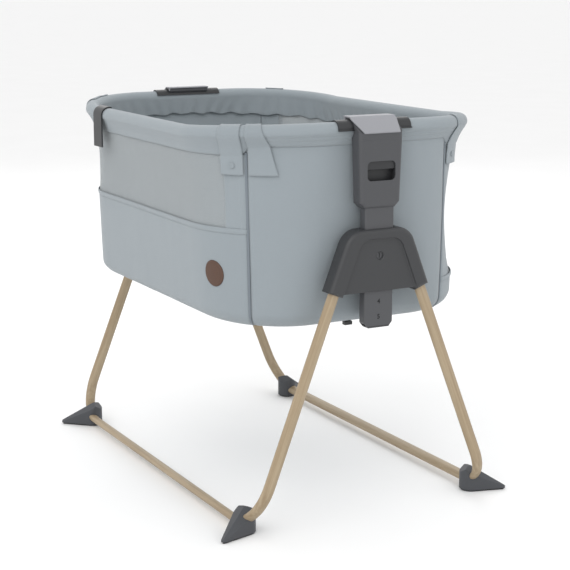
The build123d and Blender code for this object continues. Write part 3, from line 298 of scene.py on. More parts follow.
def grained(name):
    """Wood-look coat on the stand's tubes: grain runs along each leg and along the floor bars."""
    own = colours()
    look = Look(name, IOR=1.5)
    x, y, z = look.axes(look.place())
    lean = 0.39
    right = x.above(0.0)
    off_leg = (x + (z * lean)) * right + (x - (z * lean)) * (1 - right)
    along_leg = look.node("ShaderNodeCombineXYZ", {}, {0: off_leg * 150.0, 1: y * 150.0, 2: z * 4.5})
    along_bar = look.node("ShaderNodeCombineXYZ", {}, {0: x * 150.0, 1: y * 4.5, 2: z * 150.0})
    up = z.above(0.05)
    leg = look.grain(along_leg, 1.0, 5.0, 0.62)
    bar = look.grain(along_bar, 1.0, 5.0, 0.62)
    streak = leg * up + bar * (1 - up)
    contrast = look.node("ShaderNodeMapRange", {}, {0: streak, 1: 0.36, 2: 0.64})
    fleck = look.grain(look.place(), 60.0)
    look.feeds("Base Color", look.blend(contrast * 0.8 + fleck * 0.2, (*own.ash_dark, 1), (*own.ash, 1)))
    look.feeds("Roughness", streak * 0.14 + 0.40)
    look.raise_by(streak, 0.00010)
    return look.material


def woven(name, value, pitch=0.0011, relief=0.00022, melange=0.10):
    """Plain weave in two thread directions, with the flecks of a melange yarn."""
    look = Look(name, Sheen_Weight=0.25, Sheen_Roughness=0.5, IOR=1.4)
    turns = 2 * math.pi / pitch
    u, v, _ = look.axes(look.place(source="UV"))
    warp = (u * turns).wave()
    weft = (v * turns).wave()
    weave = warp * weft + (1 - warp) * (1 - weft)
    spot = look.place()
    fleck = look.grain(spot, 900.0, 3.0, 0.7)
    slub = look.grain(look.place((1, 1, 9)), 120.0, 3.0, 0.6)
    cloud = look.grain(spot, 9.0, 2.0)
    tone = fleck * 0.35 + slub * 0.35 + weave * 0.15 + cloud * 0.15
    look.feeds("Base Color", look.blend(tone, shade(value, 1 - melange), shade(value, 1 + melange)))
    look.feeds("Roughness", weave * 0.06 + fleck * 0.08 + 0.80)
    look.raise_by(weave * 0.7 + slub * 0.3, relief)
    return look.material


def netting(name, value, pitch=0.0026, cover=0.62):
    """Knitted mesh: small staggered holes between threads."""
    look = Look(name, Sheen_Weight=0.2, IOR=1.4)
    turns = 2 * math.pi / pitch
    u, v, _ = look.axes(look.place(source="UV"))
    lattice = ((u + (v * 0.5)) * turns).wave() * ((u - (v * 0.5)) * turns).wave()
    thread = look.node("ShaderNodeMapRange", {}, {0: lattice, 1: 0.30, 2: 0.62, 3: 1.0, 4: 1.0 - cover})
    fleck = look.grain(look.place(), 700.0)
    look.feeds("Base Color", look.blend(fleck, shade(value, 0.94), shade(value, 1.06)))
    look.feeds("Roughness", fleck * 0.1 + 0.78)
    look.feeds("Alpha", thread)
    look.raise_by(thread, 0.0002)
    look.material.surface_render_method = "DITHERED"
    return look.material


def leather(name, value):
    look = Look(name, IOR=1.5)
    spot = look.place()
    pores = look.node("ShaderNodeTexVoronoi", {"feature": "F1"}, {0: spot, "Scale": 620.0})
    creases = look.grain(spot, 160.0, 4.0, 0.6)
    look.feeds("Base Color", look.blend(creases, shade(value, 0.80), shade(value, 1.18)))
    look.feeds("Roughness", creases * 0.2 + 0.42)
    look.raise_by(pores * 0.6 + creases * 0.4, 0.00025)
    return look.material


def rubbery(name, value):
    look = Look(name, IOR=1.45)
    fine = look.grain(look.place(), 700.0, 3.0)
    look.feeds("Base Color", look.blend(fine, shade(value, 0.9), shade(value, 1.1)))
    look.feeds("Roughness", fine * 0.12 + 0.78)
    look.raise_by(fine, 0.0001)
    return look.material


def make_finishes():
    own = colours()
    metal = (0.55, 0.55, 0.56)
    return {
        "frame_finish": grained("ash_coat"),
        "dark_shell": moulded("foot_plastic", own.foot),
        "hub_shell": moulded("hub_plastic", own.hub, 0.46),
        "housing_shell": moulded("housing_plastic", own.shell, 0.50),
        "flap_shell": moulded("flap_plastic", own.flap, 0.48),
        "trigger_shell": moulded("trigger_plastic", own.dark, 0.45),
        "rail_shell": moulded("rail_plastic", own.dark, 0.42),
        "sole_rubber": rubbery("sole_rubber", (0.03, 0.03, 0.03)),
        "zinc_steel": steel("zinc_plate", metal, 0.34),
        "spring_steel": steel("spring_wire", (0.42, 0.42, 0.43), 0.38),
        "post_finish": coated("post_coat", own.shell),
        "rim_metal": coated("rim_coat", (0.05, 0.05, 0.055)),
        "nylon": moulded("liner_nylon", (0.6, 0.6, 0.58)),
        "fabric": woven("cover_weave", own.cover),
        "mesh": netting("side_netting", own.netting),
        "zip_tape": woven("tape_weave", own.tape, 0.0008),
        "mattress_cover": woven("bedding_weave", own.bedding, 0.0014, 0.0003),
        "board": rubbery("pressed_board", (0.28, 0.20, 0.12)),
        "badge_leather": leather("badge_hide", own.hide),
    }


FINISH = {}


def dress(piece, slot):
    piece.data.materials.clear()
    piece.data.materials.append(FINISH[slot])


# ------------------------------------------------------------------ shape of the basket
def around(share, cx, cy, r):
    """Point on a rounded rectangle and its outward direction, a share of the way round."""
    run = (share % 1.0) * GIRTH
    for index, span in enumerate(SPANS):
        if run <= span or index == len(SPANS) - 1:
            break
        run -= span
    f = min(run / span, 1.0)
    if index % 2:
        corner = ((cx, -cy), (cx, cy), (-cx, cy), (-cx, -cy))[index // 2]
        angle = math.radians(90 * (index // 2 - 1 + f))
        nx, ny = math.cos(angle), math.sin(angle)
        return Vector((corner[0] + r * nx, corner[1] + r * ny, 0)), Vector((nx, ny, 0))
    if index in (0, 8):
        x = f * cx if index == 0 else -(1 - f) * cx
        return Vector((x, -cy - r, 0)), Vector((0, -1, 0))
    if index == 2:
        return Vector((cx + r, cy * (2 * f - 1), 0)), Vector((1, 0, 0))
    if index == 4:
        return Vector((cx * (1 - 2 * f), cy + r, 0)), Vector((0, 1, 0))
    return Vector((-cx - r, cy * (1 - 2 * f), 0)), Vector((-1, 0, 0))


def outline(z):
    """Half spacing of the corner centres and the corner radius of the cover, at one height."""
    own = sizes()
    share = (z - BASE_Z) / (own.top_z - BASE_Z)
    half_width = own.base_half_width + share * (own.top_half_width - own.base_half_width)
    half_length = own.base_half_length + share * (own.top_half_length - own.base_half_length)
    corner = own.base_corner + share * (own.top_corner - own.base_corner)
    return half_width - corner, half_length - corner, corner


def seam_distance(share):
    """Distance along the cover to the nearest corner seam."""
    near = min(abs(share % 1.0 - seam) for seam in SEAMS)
    return near * GIRTH


def softness(share, z):
    """Small unevenness of the hanging cover, outward."""
    flow = noise.noise(Vector((share * 23, z * 7, 1.3)))
    fine = noise.noise(Vector((share * 90, z * 16, 4.1)))
    return 0.0013 * flow + 0.0004 * fine


def wall_point(share, z, out):
    """Point on the cover's outer face, moved outward."""
    spot, normal = around(share, *outline(z))
    tuck = 0.0022 * math.exp(-((seam_distance(share) / 0.0055) ** 2))
    moved = spot + normal * (out + softness(share, z) - tuck)
    return Vector((moved.x, moved.y, z))


def roll_depth(share):
    own = sizes()
    _, normal = around(share, *outline(BASE_Z))
    return own.roll_out + own.roll_side * max(0.0, -normal.x) ** 2


def rolled_point(share, run, out):
    """Point on the cover, counted up from its edge under the base."""
    own = sizes()
    roll = 0.055
    if run >= roll:
        return wall_point(share, BASE_Z + own.roll_up + run - roll, out)
    turn = (1 - run / roll) * math.pi / 2
    depth = roll_depth(share)
    inset = depth * (1 - math.cos(turn))
    z = BASE_Z + own.roll_up * (1 - math.sin(turn))
    point = wall_point(share, z, out * math.cos(turn) - inset)
    return point - Vector((0, 0, out * math.sin(turn)))


def rolled_length(z_top):
    return 0.055 + z_top - BASE_Z - sizes().roll_up


def rim_z(y):
    own = sizes()
    rise = (abs(y) - own.rim_dip_y) / (own.rim_half_length - own.rim_dip_y)
    rise = min(max(rise, 0.0), 1.0)
    return own.rim_side_z + (own.rim_end_z - own.rim_side_z) * rise


def rim_frame(share):
    own = sizes()
    corner = own.rim_corner
    spot, normal = around(share, own.rim_half_width - corner, own.rim_half_length - corner, corner)
    return Vector((spot.x, spot.y, rim_z(spot.y))), normal


def end_share(share):
    """1 in the ends of the basket, 0 along its sides, with a quick change at the corner seams."""
    share = share % 1.0
    into_right = min(share - SEAM_NEAR_RIGHT, SEAM_FAR_RIGHT - share)
    into_left = min(share - SEAM_FAR_LEFT, SEAM_NEAR_LEFT - share)
    edge = max(into_right, into_left) * GIRTH / SEAM_BLEND
    return 1 / (1 + math.exp(max(-40.0, min(40.0, edge))))


def band_z(share):
    own = sizes()
    ends = end_share(share)
    return own.end_band_z * ends + own.side_band_z * (1 - ends)


def sleeve_point(share, run, out):
    """Point on the rim sleeve's outside: up the band, over the rim and down to the gathered inner edge.
    Run goes from 0 at the lower seam to 1 at the top of the band, 2 past the rim and 3 at the inner edge."""
    own = sizes()
    centre, normal = rim_frame(share)
    up = Vector((0, 0, 1))
    radius = own.sleeve_radius
    start, stop = math.radians(-18), math.radians(196)
    if run >= 1 and run <= 2:
        angle = start + (run - 1) * (stop - start)
        pucker = 0.0004 * noise.noise(Vector((share * 120, angle * 1.5, 2.0)))
        reach = radius + out + min(pucker, 0)
        return centre + normal * (reach * math.cos(angle)) + up * (reach * math.sin(angle))
    if run < 1:
        shoulder = centre + normal * ((radius + out) * math.cos(start))
        shoulder += up * ((radius + out) * math.sin(start))
        seam = wall_point(share, band_z(share), 0.0016 + out)
        point = seam.lerp(shoulder, run)
        sag = 0.0022 * math.sin(math.pi * run) * (1 - end_share(share))
        stitched = 0.0009 * math.exp(-((run / 0.07) ** 2))
        if end_share(share) > 0.5:
            for line in (0.726, 0.734):
                stitched += 0.0009 * math.exp(-(((point.z - line) / 0.0013) ** 2))
        return point - normal * (sag + stitched)
    fall = run - 2
    shoulder = centre + normal * ((radius + out) * math.cos(stop))
    shoulder += up * ((radius + out) * math.sin(stop))
    turn = share * 2 * math.pi
    drop = INNER_DROP + 0.010 * noise.noise(Vector((share * 16, 0.7, 0))) + 0.002 * math.sin(turn * 46)
    gather = 0.0020 * fall * math.sin(turn * 74 + 2 * noise.noise(Vector((share * 30, 2.2, 0))))
    inner = wall_point(share, centre.z - INNER_DROP, -0.0085)
    edge = Vector((inner.x, inner.y, shoulder.z - drop))
    point = shoulder.lerp(edge, fall)
    return point + normal * gather


# ------------------------------------------------------------------ modelling helpers
def deselect():
    if bpy.context.mode != "OBJECT":
        bpy.ops.object.mode_set(mode="OBJECT")
    bpy.ops.object.select_all(action="DESELECT")


def only(piece):
    deselect()
    piece.select_set(True)
    bpy.context.view_layer.objects.active = piece


def finish_modifiers(piece):
    only(piece)
    for modifier in list(piece.modifiers):
        bpy.ops.object.modifier_apply(modifier=modifier.name)


def settle(piece):
    """Puts the object's place, turn and size into its mesh."""
    only(piece)
    bpy.ops.object.transform_apply(location=True, rotation=True, scale=True)


def mesh_area(piece):
    return sum(face.area for face in piece.data.polygons)


def cloth(name, columns, rows, place, extent, closed=False):
    """Grid of cloth laid on a surface. place takes shares across and up; extent is its size for the weave."""
    deselect()
    bpy.ops.mesh.primitive_grid_add(x_subdivisions=columns, y_subdivisions=rows, size=1)
    piece = bpy.context.object
    piece.name = name
    piece.data.name = name
    for loop in piece.data.uv_layers[0].data:
        loop.uv = (loop.uv[0] * extent[0], loop.uv[1] * extent[1])
    for vertex in piece.data.vertices:
        vertex.co = place(vertex.co.x + 0.5, vertex.co.y + 0.5)
    if closed:
        only(piece)
        bpy.ops.object.mode_set(mode="EDIT")
        bpy.ops.mesh.select_all(action="SELECT")
        bpy.ops.mesh.remove_doubles(threshold=0.00002)
        bpy.ops.object.mode_set(mode="OBJECT")
    only(piece)
    bpy.ops.object.shade_smooth()
    return piece


def thicken(piece, thickness):
    solid = piece.modifiers.new("thickness", "SOLIDIFY")
    solid.thickness = thickness
    solid.offset = -1
    solid.use_rim = True
    finish_modifiers(piece)


def join(first, others):
    only(first)
    for piece in others:
        piece.select_set(True)
    bpy.ops.object.join()
    return first


def hang(piece, slot, area, width):
    """Dresses a sheet and fixes it to the basket; its flat size is worked out but not kept."""
    dress(piece, slot)
    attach(piece, "basket")
    round(area / width, 3)


# ------------------------------------------------------------------ operators: sewn cover
class BASSINET_OT_finishes(bpy.types.Operator):
    """Gives every carried-over part its finish"""
    bl_idname = "bassinet.finishes"
    bl_label = "Finishes"

    def execute(self, context):
        FINISH.clear()
        FINISH.update(make_finishes())
        for entry in frame["record"]["subparts"]:
            node = frame["nodes"][entry["node"]]
            node.data.materials.clear()
            node.data.materials.append(FINISH[entry["material_slot"]])
        return {"FINISHED"}


class BASSINET_OT_rim_sleeve(bpy.types.Operator):
    """Padded sleeve round the rim, with its hanging bands and gathered inner edge"""
    bl_idname = "bassinet.rim_sleeve"
    bl_label = "Rim sleeve"

    def execute(self, context):
        def place(a, b):
            run = b * 3
            return sleeve_point(a, run, 0.0)

        piece = cloth("rim_sleeve", 440, 60, place, (GIRTH, 0.14), closed=True)
        area = mesh_area(piece)
        thicken(piece, 0.0012)
        hang(piece, "fabric", area, GIRTH)
        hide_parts("left_rim_cover", "right_rim_cover")
        return {"FINISHED"}


def wall_piece(name, start, stop, z_top, columns, rows, node):
    reach = rolled_length(z_top)

    def place(a, b):
        share = start + a * (stop - start)
        lip = 0.0010 * math.exp(-(((1 - b) * reach / 0.004) ** 2))
        return rolled_point(share, b * reach, lip if z_top < 0.7 else 0.0)

    piece = cloth(name, columns, rows, place, (abs(stop - start) * GIRTH, reach))
    area = mesh_area(piece)
    thicken(piece, sizes().cloth)
    hang(piece, "fabric", area, abs(stop - start) * GIRTH)
    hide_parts(node)
    return piece


class BASSINET_OT_end_walls(bpy.types.Operator):
    """Smooth fabric walls at both ends, turned in under the base"""
    bl_idname = "bassinet.end_walls"
    bl_label = "End walls"

    def execute(self, context):
        gap = SEAM_GAP / GIRTH
        near = (SEAM_NEAR_LEFT - 1 + gap, SEAM_NEAR_RIGHT - gap)
        far = (SEAM_FAR_RIGHT + gap, SEAM_FAR_LEFT - gap)
        wall_piece("near_end_cover", *near, END_COVER_TOP, 130, 110, "near_end_wall")
        wall_piece("far_end_cover", *far, END_COVER_TOP, 130, 110, "far_end_wall")
        return {"FINISHED"}


class BASSINET_OT_side_walls(bpy.types.Operator):
    """Lower fabric walls on the sides, below the mesh"""
    bl_idname = "bassinet.side_walls"
    bl_label = "Side walls"

    def execute(self, context):
        own = sizes()
        gap = 0.0006 / GIRTH
        left = (SEAM_FAR_LEFT + gap, SEAM_NEAR_LEFT - gap)
        right = (SEAM_NEAR_RIGHT + gap, SEAM_FAR_RIGHT - gap)
        wall_piece("left_lower_cover", *left, own.left_mesh_z, 170, 70, "left_lower_wall")
        wall_piece("right_lower_cover", *right, own.right_mesh_z, 170, 40, "right_lower_wall")
        return {"FINISHED"}


STRIP = 0.040
BORDER_PULL = 0.6
NETTING_PULL = {"left": 0.005, "right": 0.021}


class BASSINET_OT_mesh_panels(bpy.types.Operator):
    """Breathable mesh on both sides, drawn inward between its borders"""
    bl_idname = "bassinet.mesh_panels"
    bl_label = "Mesh panels"

    def execute(self, context):
        own = sizes()
        left = (SEAM_FAR_LEFT, SEAM_NEAR_LEFT, own.left_mesh_z, NETTING_PULL["left"])
        right = (SEAM_NEAR_RIGHT, SEAM_FAR_RIGHT, own.right_mesh_z, NETTING_PULL["right"])
        self.panel("left_netting", *left, "left_mesh_panel")
        self.panel("right_netting", *right, "right_mesh_panel")
        return {"FINISHED"}

    def panel(self, name, start, stop, z_low, pull, node):
        inner = STRIP / GIRTH
        start, stop = start + inner, stop - inner
        z_high = sizes().side_band_z + 0.003
        low = z_low - 0.003

        def place(a, b):
            share = start + a * (stop - start)
            z = low + b * (z_high - low)
            inside = min(1.0, math.sin(math.pi * a) * NETTING_RISE)
            bow = math.sin(math.pi * b) * (BORDER_PULL + (1 - BORDER_PULL) * inside)
            return wall_point(share, z, -0.0012 - pull * bow)

        width = (stop - start) * GIRTH
        rows = 40 if z_low > 0.5 else 60
        piece = cloth(name, 120, rows, place, (width, z_high - low))
        area = mesh_area(piece)
        thicken(piece, 0.0005)
        hang(piece, "mesh", area, width)
        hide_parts(node)


class BASSINET_OT_mesh_borders(bpy.types.Operator):
    """Fabric strips beside the corner seams and the hems along the mesh"""
    bl_idname = "bassinet.mesh_borders"
    bl_label = "Mesh borders"

    def execute(self, context):
        own = sizes()
        strips = []
        for seam, way, z_low in (
            (SEAM_NEAR_RIGHT, 1, own.right_mesh_z), (SEAM_FAR_RIGHT, -1, own.right_mesh_z),
            (SEAM_FAR_LEFT, 1, own.left_mesh_z), (SEAM_NEAR_LEFT, -1, own.left_mesh_z),
        ):
            strips.append(self.strip(seam, way, z_low))
        area = sum(mesh_area(piece) for piece in strips)
        piece = join(strips[0], strips[1:])
        piece.name = piece.data.name = "corner_borders"
        thicken(piece, 0.0012)
        hang(piece, "fabric", area, 4 * STRIP)
        self.hem("left_hem", SEAM_FAR_LEFT, SEAM_NEAR_LEFT, own.left_mesh_z)
        self.hem("right_hem", SEAM_NEAR_RIGHT, SEAM_FAR_RIGHT, own.right_mesh_z)
        return {"FINISHED"}

    def strip(self, seam, way, z_low):
        z_high = sizes().side_band_z + 0.003

        def place(a, b):
            offset = 0.0006 + a * (STRIP + 0.004)
            if way < 0:
                offset = STRIP + 0.0046 - a * (STRIP + 0.004)
            ridge = 0.0007 * math.exp(-(((offset - 0.0125) / 0.0016) ** 2))
            ridge += 0.0007 * math.exp(-(((offset - STRIP) / 0.0020) ** 2))
            share = seam + way * offset / GIRTH
            pull = NETTING_PULL["right" if seam < 0.5 else "left"] * BORDER_PULL
            inward = pull * math.sin(math.pi * b) * min(1.0, offset / STRIP)
            return wall_point(share, z_low + b * (z_high - z_low), 0.0002 + ridge - inward)

        return cloth("border", 24, 50, place, (STRIP, z_high - z_low))

    def hem(self, name, start, stop, z_mid):
        width = (stop - start) * GIRTH

        def place(a, b):
            share = start + (0.001 + a * (width - 0.002)) / GIRTH
            across = (b - 0.5) * 2
            crown = 0.0011 * (1 - across * across)
            return wall_point(share, z_mid + across * 0.005, 0.0010 + crown)

        piece = cloth(name, 170, 8, place, (width, 0.010))
        area = mesh_area(piece)
        thicken(piece, 0.0008)
        hang(piece, "fabric", area, width)


class BASSINET_OT_corner_zips(bpy.types.Operator):
    """Zip tapes and piping up the four corner seams"""
    bl_idname = "bassinet.corner_zips"
    bl_label = "Corner zips"

    def execute(self, context):
        tapes = []
        for seam in SEAMS:
            tapes.append(self.tape(seam))
        area = sum(mesh_area(piece) for piece in tapes)
        piece = join(tapes[0], tapes[1:])
        piece.name = piece.data.name = "corner_zip_tapes"
        thicken(piece, 0.0007)
        hang(piece, "zip_tape", area, 0.017)
        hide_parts("corner_zips")
        return {"FINISHED"}

    def tape(self, seam):
        low, high = 0.020, rolled_length(0.706)

        def place(a, b):
            offset = (a - 0.5) * 0.0042
            coil = 0.0009 * math.exp(-((offset / 0.0009) ** 2))
            return rolled_point(seam + offset / GIRTH, low + b * (high - low), 0.0014 + coil)

        return cloth("tape", 10, 120, place, (0.0042, high - low))


class BASSINET_OT_corner_tabs(bpy.types.Operator):
    """Fabric tabs folded over the rim beside each corner seam, with press studs"""
    bl_idname = "bassinet.corner_tabs"
    bl_label = "Corner tabs"

    def execute(self, context):
        tabs = []
        ways = ((SEAM_NEAR_RIGHT, 1), (SEAM_FAR_RIGHT, -1), (SEAM_FAR_LEFT, 1), (SEAM_NEAR_LEFT, -1))
        for seam, side_way in ways:
            tabs.append(self.tab(seam, side_way, 0.040, 0.043))
            if seam in (SEAM_FAR_LEFT, SEAM_NEAR_LEFT):
                tabs.append(self.tab(seam, -side_way, 0.027, 0.052))
        area = sum(mesh_area(piece) for piece in tabs)
        piece = join(tabs[0], tabs[1:])
        piece.name = piece.data.name = "corner_flaps"
        thicken(piece, 0.0013)
        hang(piece, "fabric", area, 0.26)
        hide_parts("corner_tabs")
        self.studs()
        return {"FINISHED"}

    def tab(self, seam, way, width_top, width_low):
        own = sizes()

        def place(a, b):
            down = 1 - b
            flare = down ** 2.2
            width = width_top + (width_low - width_top) * flare
            across = a if way > 0 else 1 - a
            offset = 0.0045 + across * width
            share = seam + way * offset / GIRTH
            edge = min(across, 1 - across) * width
            roll = 0.0006 * math.exp(-((edge / 0.0025) ** 2))
            hem = 0.0005 * math.exp(-(((down * 0.11 - 0.104) / 0.0015) ** 2))
            lift = 0.0026 + roll - hem + 0.0008 * math.sin(math.pi * across) * down
            if down < 0.55:
                run = 1.0 + (0.55 - down) / 0.55 * 0.55
                return sleeve_point(share, run, lift - 0.0008)
            top = sleeve_point(share, 1.0, lift - 0.0008)
            low_z = own.tab_z
            fall = (down - 0.55) / 0.45
            z = top.z + (low_z - top.z) * fall
            seam_z = band_z(share)
            if z >= seam_z:
                part = (z - seam_z) / (top.z - seam_z)
                return sleeve_point(share, part, lift)
            return wall_point(share, z, lift + 0.0016 * max(0.0, 1 - (seam_z - z) / 0.02))

        return cloth("tab", 16, 44, place, (width_low, 0.11))

    def studs(self):
        discs = []
        ways = ((SEAM_NEAR_LEFT, -1), (SEAM_FAR_LEFT, 1), (SEAM_NEAR_RIGHT, 1), (SEAM_FAR_RIGHT, -1))
        for seam, way in ways:
            share = seam + way * STUD_FROM_SEAM / GIRTH
            _, normal = around(share, *outline(STUD_Z))
            spot = wall_point(share, STUD_Z, 0.0046)
            deselect()
            bpy.ops.mesh.primitive_cylinder_add(vertices=28, radius=0.0055, depth=0.0012)
            disc = bpy.context.object
            bpy.ops.object.mode_set(mode="EDIT")
            bpy.ops.mesh.select_all(action="DESELECT")
            bpy.ops.object.mode_set(mode="OBJECT")
            for face in disc.data.polygons:
                face.select = face.normal.z > 0.5
            bpy.ops.object.mode_set(mode="EDIT")
            bpy.ops.mesh.select_mode(type="FACE")
            bpy.ops.mesh.inset(thickness=0.0014)
            bpy.ops.transform.translate(value=(0, 0, 0.0004))
            bpy.ops.mesh.inset(thickness=0.0012)
            bpy.ops.transform.translate(value=(0, 0, -0.0005))
            bpy.ops.object.mode_set(mode="OBJECT")
            turn = Vector((0, 0, 1)).rotation_difference(normal).to_matrix().to_4x4()
            disc.matrix_world = Matrix.Translation(spot) @ turn
            settle(disc)
            discs.append(disc)
        piece = join(discs[0], discs[1:])
        piece.name = piece.data.name = "tab_studs"
        only(piece)
        bpy.ops.object.shade_smooth_by_angle(angle=math.radians(35))
        dress(piece, "fabric")
        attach(piece, "basket")


def contour_share(a, b):
    """Share round the outline for a point on the unit square's edge, and its distance from the middle."""
    depth = max(abs(a), abs(b))
    if depth < 1e-9:
        return 0.0, 0.0
    a, b = a / depth, b / depth
    if b <= -1 + 1e-9:
        run = a if a >= 0 else 8 + a
    elif a >= 1 - 1e-9:
        run = 2 + b
    elif b >= 1 - 1e-9:
        run = 4 - a
    else:
        run = 6 - b
    return run / 8, depth


class BASSINET_OT_base_cloth(bpy.types.Operator):
    """Cloth under the base, sewn to the rolled walls"""
    bl_idname = "bassinet.base_cloth"
    bl_label = "Base cloth"

    def execute(self, context):
        def place(a, b):
            share, depth = contour_share(2 * a - 1, 2 * b - 1)
            edge = rolled_point(share, 0.003, -0.0002)
            sag = 0.0006 * noise.noise(Vector((a * 7, b * 9, 0)))
            return Vector((edge.x * depth, edge.y * depth, BASE_Z + 0.0016 + sag * (1 - depth)))

        piece = cloth("base_cover", 60, 80, place, (0.46, 0.72))
        only(piece)
        bpy.ops.object.mode_set(mode="EDIT")
        bpy.ops.mesh.select_all(action="SELECT")
        bpy.ops.mesh.flip_normals()
        bpy.ops.object.mode_set(mode="OBJECT")
        area = mesh_area(piece)
        thicken(piece, 0.0010)
        hang(piece, "fabric", area, 0.46)
        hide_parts("base_cloth")
        return {"FINISHED"}


class BASSINET_OT_mattress(bpy.types.Operator):
    """Padded mattress with sewn channels"""
    bl_idname = "bassinet.mattress"
    bl_label = "Mattress"

    def execute(self, context):
        low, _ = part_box("mattress")
        source = frame["nodes"]["mattress"]
        piece = source.copy()
        piece.data = source.data.copy()
        piece.parent = None
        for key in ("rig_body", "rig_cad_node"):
            if key in piece:
                del piece[key]
        context.scene.collection.objects.link(piece)
        piece.name = piece.data.name = "mattress_pad"
        only(piece)
        bpy.ops.object.mode_set(mode="EDIT")
        bpy.ops.mesh.select_all(action="SELECT")
        bpy.ops.mesh.remove_doubles(threshold=0.00005)
        bpy.ops.object.mode_set(mode="OBJECT")
        for vertex in piece.data.vertices:
            vertex.co.z = low.z + 0.0015 + (vertex.co.z - low.z) * 0.74
            vertex.co.x *= 0.988
            vertex.co.y *= 0.991
        remesh = piece.modifiers.new("voxels", "REMESH")
        remesh.mode = "VOXEL"
        remesh.voxel_size = 0.007
        finish_modifiers(piece)
        start = [vertex.co.copy() for vertex in piece.data.vertices]
        self.inflate(context, piece)
        for vertex, rest in zip(piece.data.vertices, start):
            move = vertex.co - rest
            if move.length > MATTRESS_BULGE:
                move *= MATTRESS_BULGE / move.length
            spot = rest + move
            spot.z = max(spot.z, low.z + 0.0004)
            top = max(0.0, min(1.0, (spot.z - low.z - 0.018) / 0.012))
            off_seam = (spot.y + CHANNEL_PITCH / 2) % CHANNEL_PITCH - CHANNEL_PITCH / 2
            channel = math.exp(-(off_seam / 0.006) ** 2)
            spot.z -= 0.0038 * channel * top
            vertex.co = spot
        smooth = piece.modifiers.new("smooth", "SUBSURF")
        smooth.levels = smooth.render_levels = 1
        finish_modifiers(piece)
        only(piece)
        bpy.ops.object.shade_smooth()
        dress(piece, "mattress_cover")
        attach(piece, "basket")
        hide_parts("mattress")
        return {"FINISHED"}

    def inflate(self, context, piece):
        cushion = piece.modifiers.new("cushion", "CLOTH")
        cushion.settings.use_pressure = True
        cushion.settings.uniform_pressure_force = 4.0
        cushion.settings.quality = 5
        cushion.settings.mass = 0.3
        cushion.settings.tension_stiffness = 20.0
        cushion.settings.effector_weights.gravity = 0.0
        cushion.collision_settings.use_collision = False
        cushion.point_cache.frame_start = 1
        cushion.point_cache.frame_end = 20
        for step in range(1, 21):
            context.scene.frame_set(step)
        finish_modifiers(piece)
        context.scene.frame_set(1)


class BASSINET_OT_badge(bpy.types.Operator):
    """Round leather badge beside the near left corner, its mark left out"""
    bl_idname = "bassinet.badge"
    bl_label = "Badge"

    def execute(self, context):
        low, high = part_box("badge")
        middle = (low + high) / 2
        shares = (i / 4000 for i in range(4000))
        best = min(shares, key=lambda s: (wall_point(s, middle.z, 0).xy - middle.xy).length)
        radius = sizes().badge_radius

        def place(a, b):
            share, depth = contour_share(2 * a - 1, 2 * b - 1)
            angle = 2 * math.pi * share
            reach = depth * radius
            dome = 0.0022 * (1 - max(0.0, (depth - 0.80) / 0.20) ** 2)
            groove = 0.0006 * math.exp(-(((depth - 0.80) / 0.035) ** 2))
            x, z = reach * math.sin(angle), -reach * math.cos(angle)
            return wall_point(best + x / GIRTH, middle.z + z, 0.0006 + dome - groove)

        piece = cloth("leather_badge", 40, 40, place, (0.05, 0.05))
        thicken(piece, 0.0010)
        dress(piece, "badge_leather")
        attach(piece, "basket")
        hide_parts("badge")
        return {"FINISHED"}


class BASSINET_OT_numbers(bpy.types.Operator):
    """Level numbers printed on both posts"""
    bl_idname = "bassinet.numbers"
    bl_label = "Level numbers"

    def execute(self, context):
        low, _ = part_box("near_post")
        digits = []
        for end in (-1, 1):
            for level in range(1, LEVELS + 1):
                z = TOP_LEVEL_Z - (level - 1) * LEVEL_PITCH
                deselect()
                turn = (math.pi / 2, 0, 0 if end < 0 else math.pi)
                bpy.ops.object.text_add(location=(0, end * (-low.y + 0.00005), z), rotation=turn)
                digit = context.object
                digit.data.body = str(level)
                digit.data.size = 0.0125
                digit.data.align_x = "CENTER"
                digit.data.align_y = "CENTER"
                digit.data.extrude = 0.0001
                digit.data.offset = 0.0003
                only(digit)
                bpy.ops.object.convert(target="MESH")
                settle(digit)
                digits.append(context.object)
        piece = join(digits[0], digits[1:])
        piece.name = piece.data.name = "level_numbers"
        look = rubbery("number_ink", (0.012, 0.012, 0.013))
        piece.data.materials.clear()
        piece.data.materials.append(look)
        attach(piece, "columns")
        return {"FINISHED"}


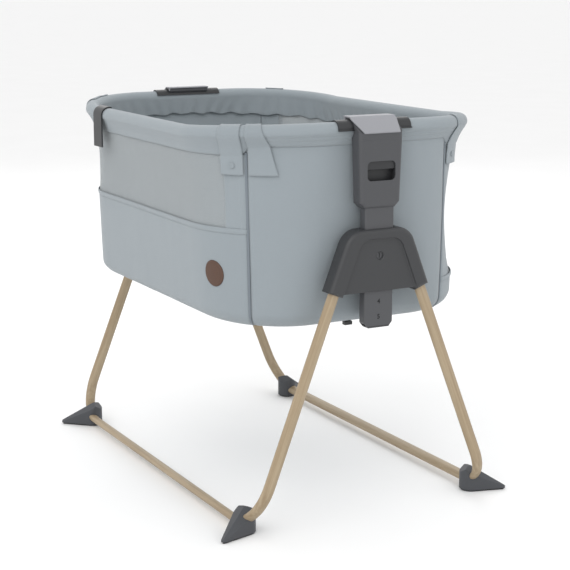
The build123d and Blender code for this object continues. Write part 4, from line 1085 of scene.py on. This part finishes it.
# ------------------------------------------------------------------ stage
class BASSINET_OT_stage(bpy.types.Operator):
    """Pale floor, soft lights and the camera"""
    bl_idname = "bassinet.stage"
    bl_label = "Stage"

    def execute(self, context):
        self.floor()
        self.light("key", (-2.6, -2.2, 3.2), 3.2, 62.0)
        self.light("fill", (2.6, -2.4, 2.0), 3.0, 10.0)
        self.light("back", (1.2, 3.0, 3.0), 3.0, 34.0)
        world = bpy.data.worlds.new("studio")
        world.use_nodes = True
        shell = world.node_tree.nodes["Background"]
        shell.inputs[0].default_value = (1.0, 1.0, 1.0, 1.0)
        shell.inputs[1].default_value = 1.0
        context.scene.world = world
        context.scene.view_settings.view_transform = "Standard"
        deselect()
        bpy.ops.object.camera_add(
            location=(-1.438, -2.755, 1.023),
            rotation=(math.radians(78.22), 0, math.radians(-28.22)),
        )
        camera = context.object
        camera.data.sensor_width = 36.0
        camera.data.lens = 94.4
        camera.data.dof.use_dof = False
        context.scene.camera = camera
        return {"FINISHED"}

    def floor(self):
        deselect()
        bpy.ops.mesh.primitive_plane_add(size=240, location=(0, 0, -FLOOR_GAP))
        floor = bpy.context.object
        floor.name = floor.data.name = "studio_floor"
        bpy.ops.object.mode_set(mode="EDIT")
        bpy.ops.mesh.subdivide(number_cuts=12)
        bpy.ops.object.mode_set(mode="OBJECT")
        settle(floor)
        look = Look("studio_paper")
        spot = look.place()
        cloud = look.grain(spot, 3.0)
        look.feeds("Base Color", look.blend(cloud, (0.90, 0.90, 0.90, 1), (0.93, 0.93, 0.93, 1)))
        look.feeds("Roughness", cloud * 0.1 + 0.85)
        floor.data.materials.append(look.material)

    def light(self, name, spot, size, power):
        deselect()
        bpy.ops.object.light_add(type="AREA", location=spot)
        lamp = bpy.context.object
        lamp.name = name
        lamp.data.size = size
        lamp.data.energy = power
        aim = Vector((0, 0, 0.45)) - Vector(spot)
        lamp.rotation_euler = aim.to_track_quat("-Z", "Y").to_euler()


STEPS = (
    "finishes", "stage", "rim_sleeve", "end_walls", "side_walls", "mesh_panels", "mesh_borders",
    "corner_zips", "corner_tabs", "base_cloth", "mattress", "badge", "numbers",
)


class BASSINET_PT_sidebar(bpy.types.Panel):
    """Lists the steps that make the bassinet's looks"""
    bl_idname = "BASSINET_PT_sidebar"
    bl_label = "Bassinet"
    bl_space_type = "VIEW_3D"
    bl_region_type = "UI"
    bl_category = "Bassinet"

    def draw(self, context):
        for step in STEPS:
            self.layout.operator("bassinet." + step)
        for group in (sizes(), colours()):
            for name in group.bl_rna.properties.keys():
                if name not in ("rna_type", "name"):
                    self.layout.prop(group, name)


CLASSES = (
    BassinetSizes, BassinetColours, BASSINET_OT_finishes, BASSINET_OT_stage, BASSINET_OT_rim_sleeve,
    BASSINET_OT_end_walls, BASSINET_OT_side_walls, BASSINET_OT_mesh_panels, BASSINET_OT_mesh_borders,
    BASSINET_OT_corner_zips, BASSINET_OT_corner_tabs, BASSINET_OT_base_cloth, BASSINET_OT_mattress,
    BASSINET_OT_badge, BASSINET_OT_numbers, BASSINET_PT_sidebar,
)


def register():
    for cls in CLASSES:
        bpy.utils.register_class(cls)
    bpy.types.Scene.bassinet_sizes = bpy.props.PointerProperty(type=BassinetSizes)
    bpy.types.Scene.bassinet_colours = bpy.props.PointerProperty(type=BassinetColours)


def unregister():
    del bpy.types.Scene.bassinet_colours
    del bpy.types.Scene.bassinet_sizes
    for cls in reversed(CLASSES):
        bpy.utils.unregister_class(cls)


def main():
    register()
    for step in STEPS:
        getattr(bpy.ops.bassinet, step)()
    deselect()


if __name__ == "__main__":
    main()
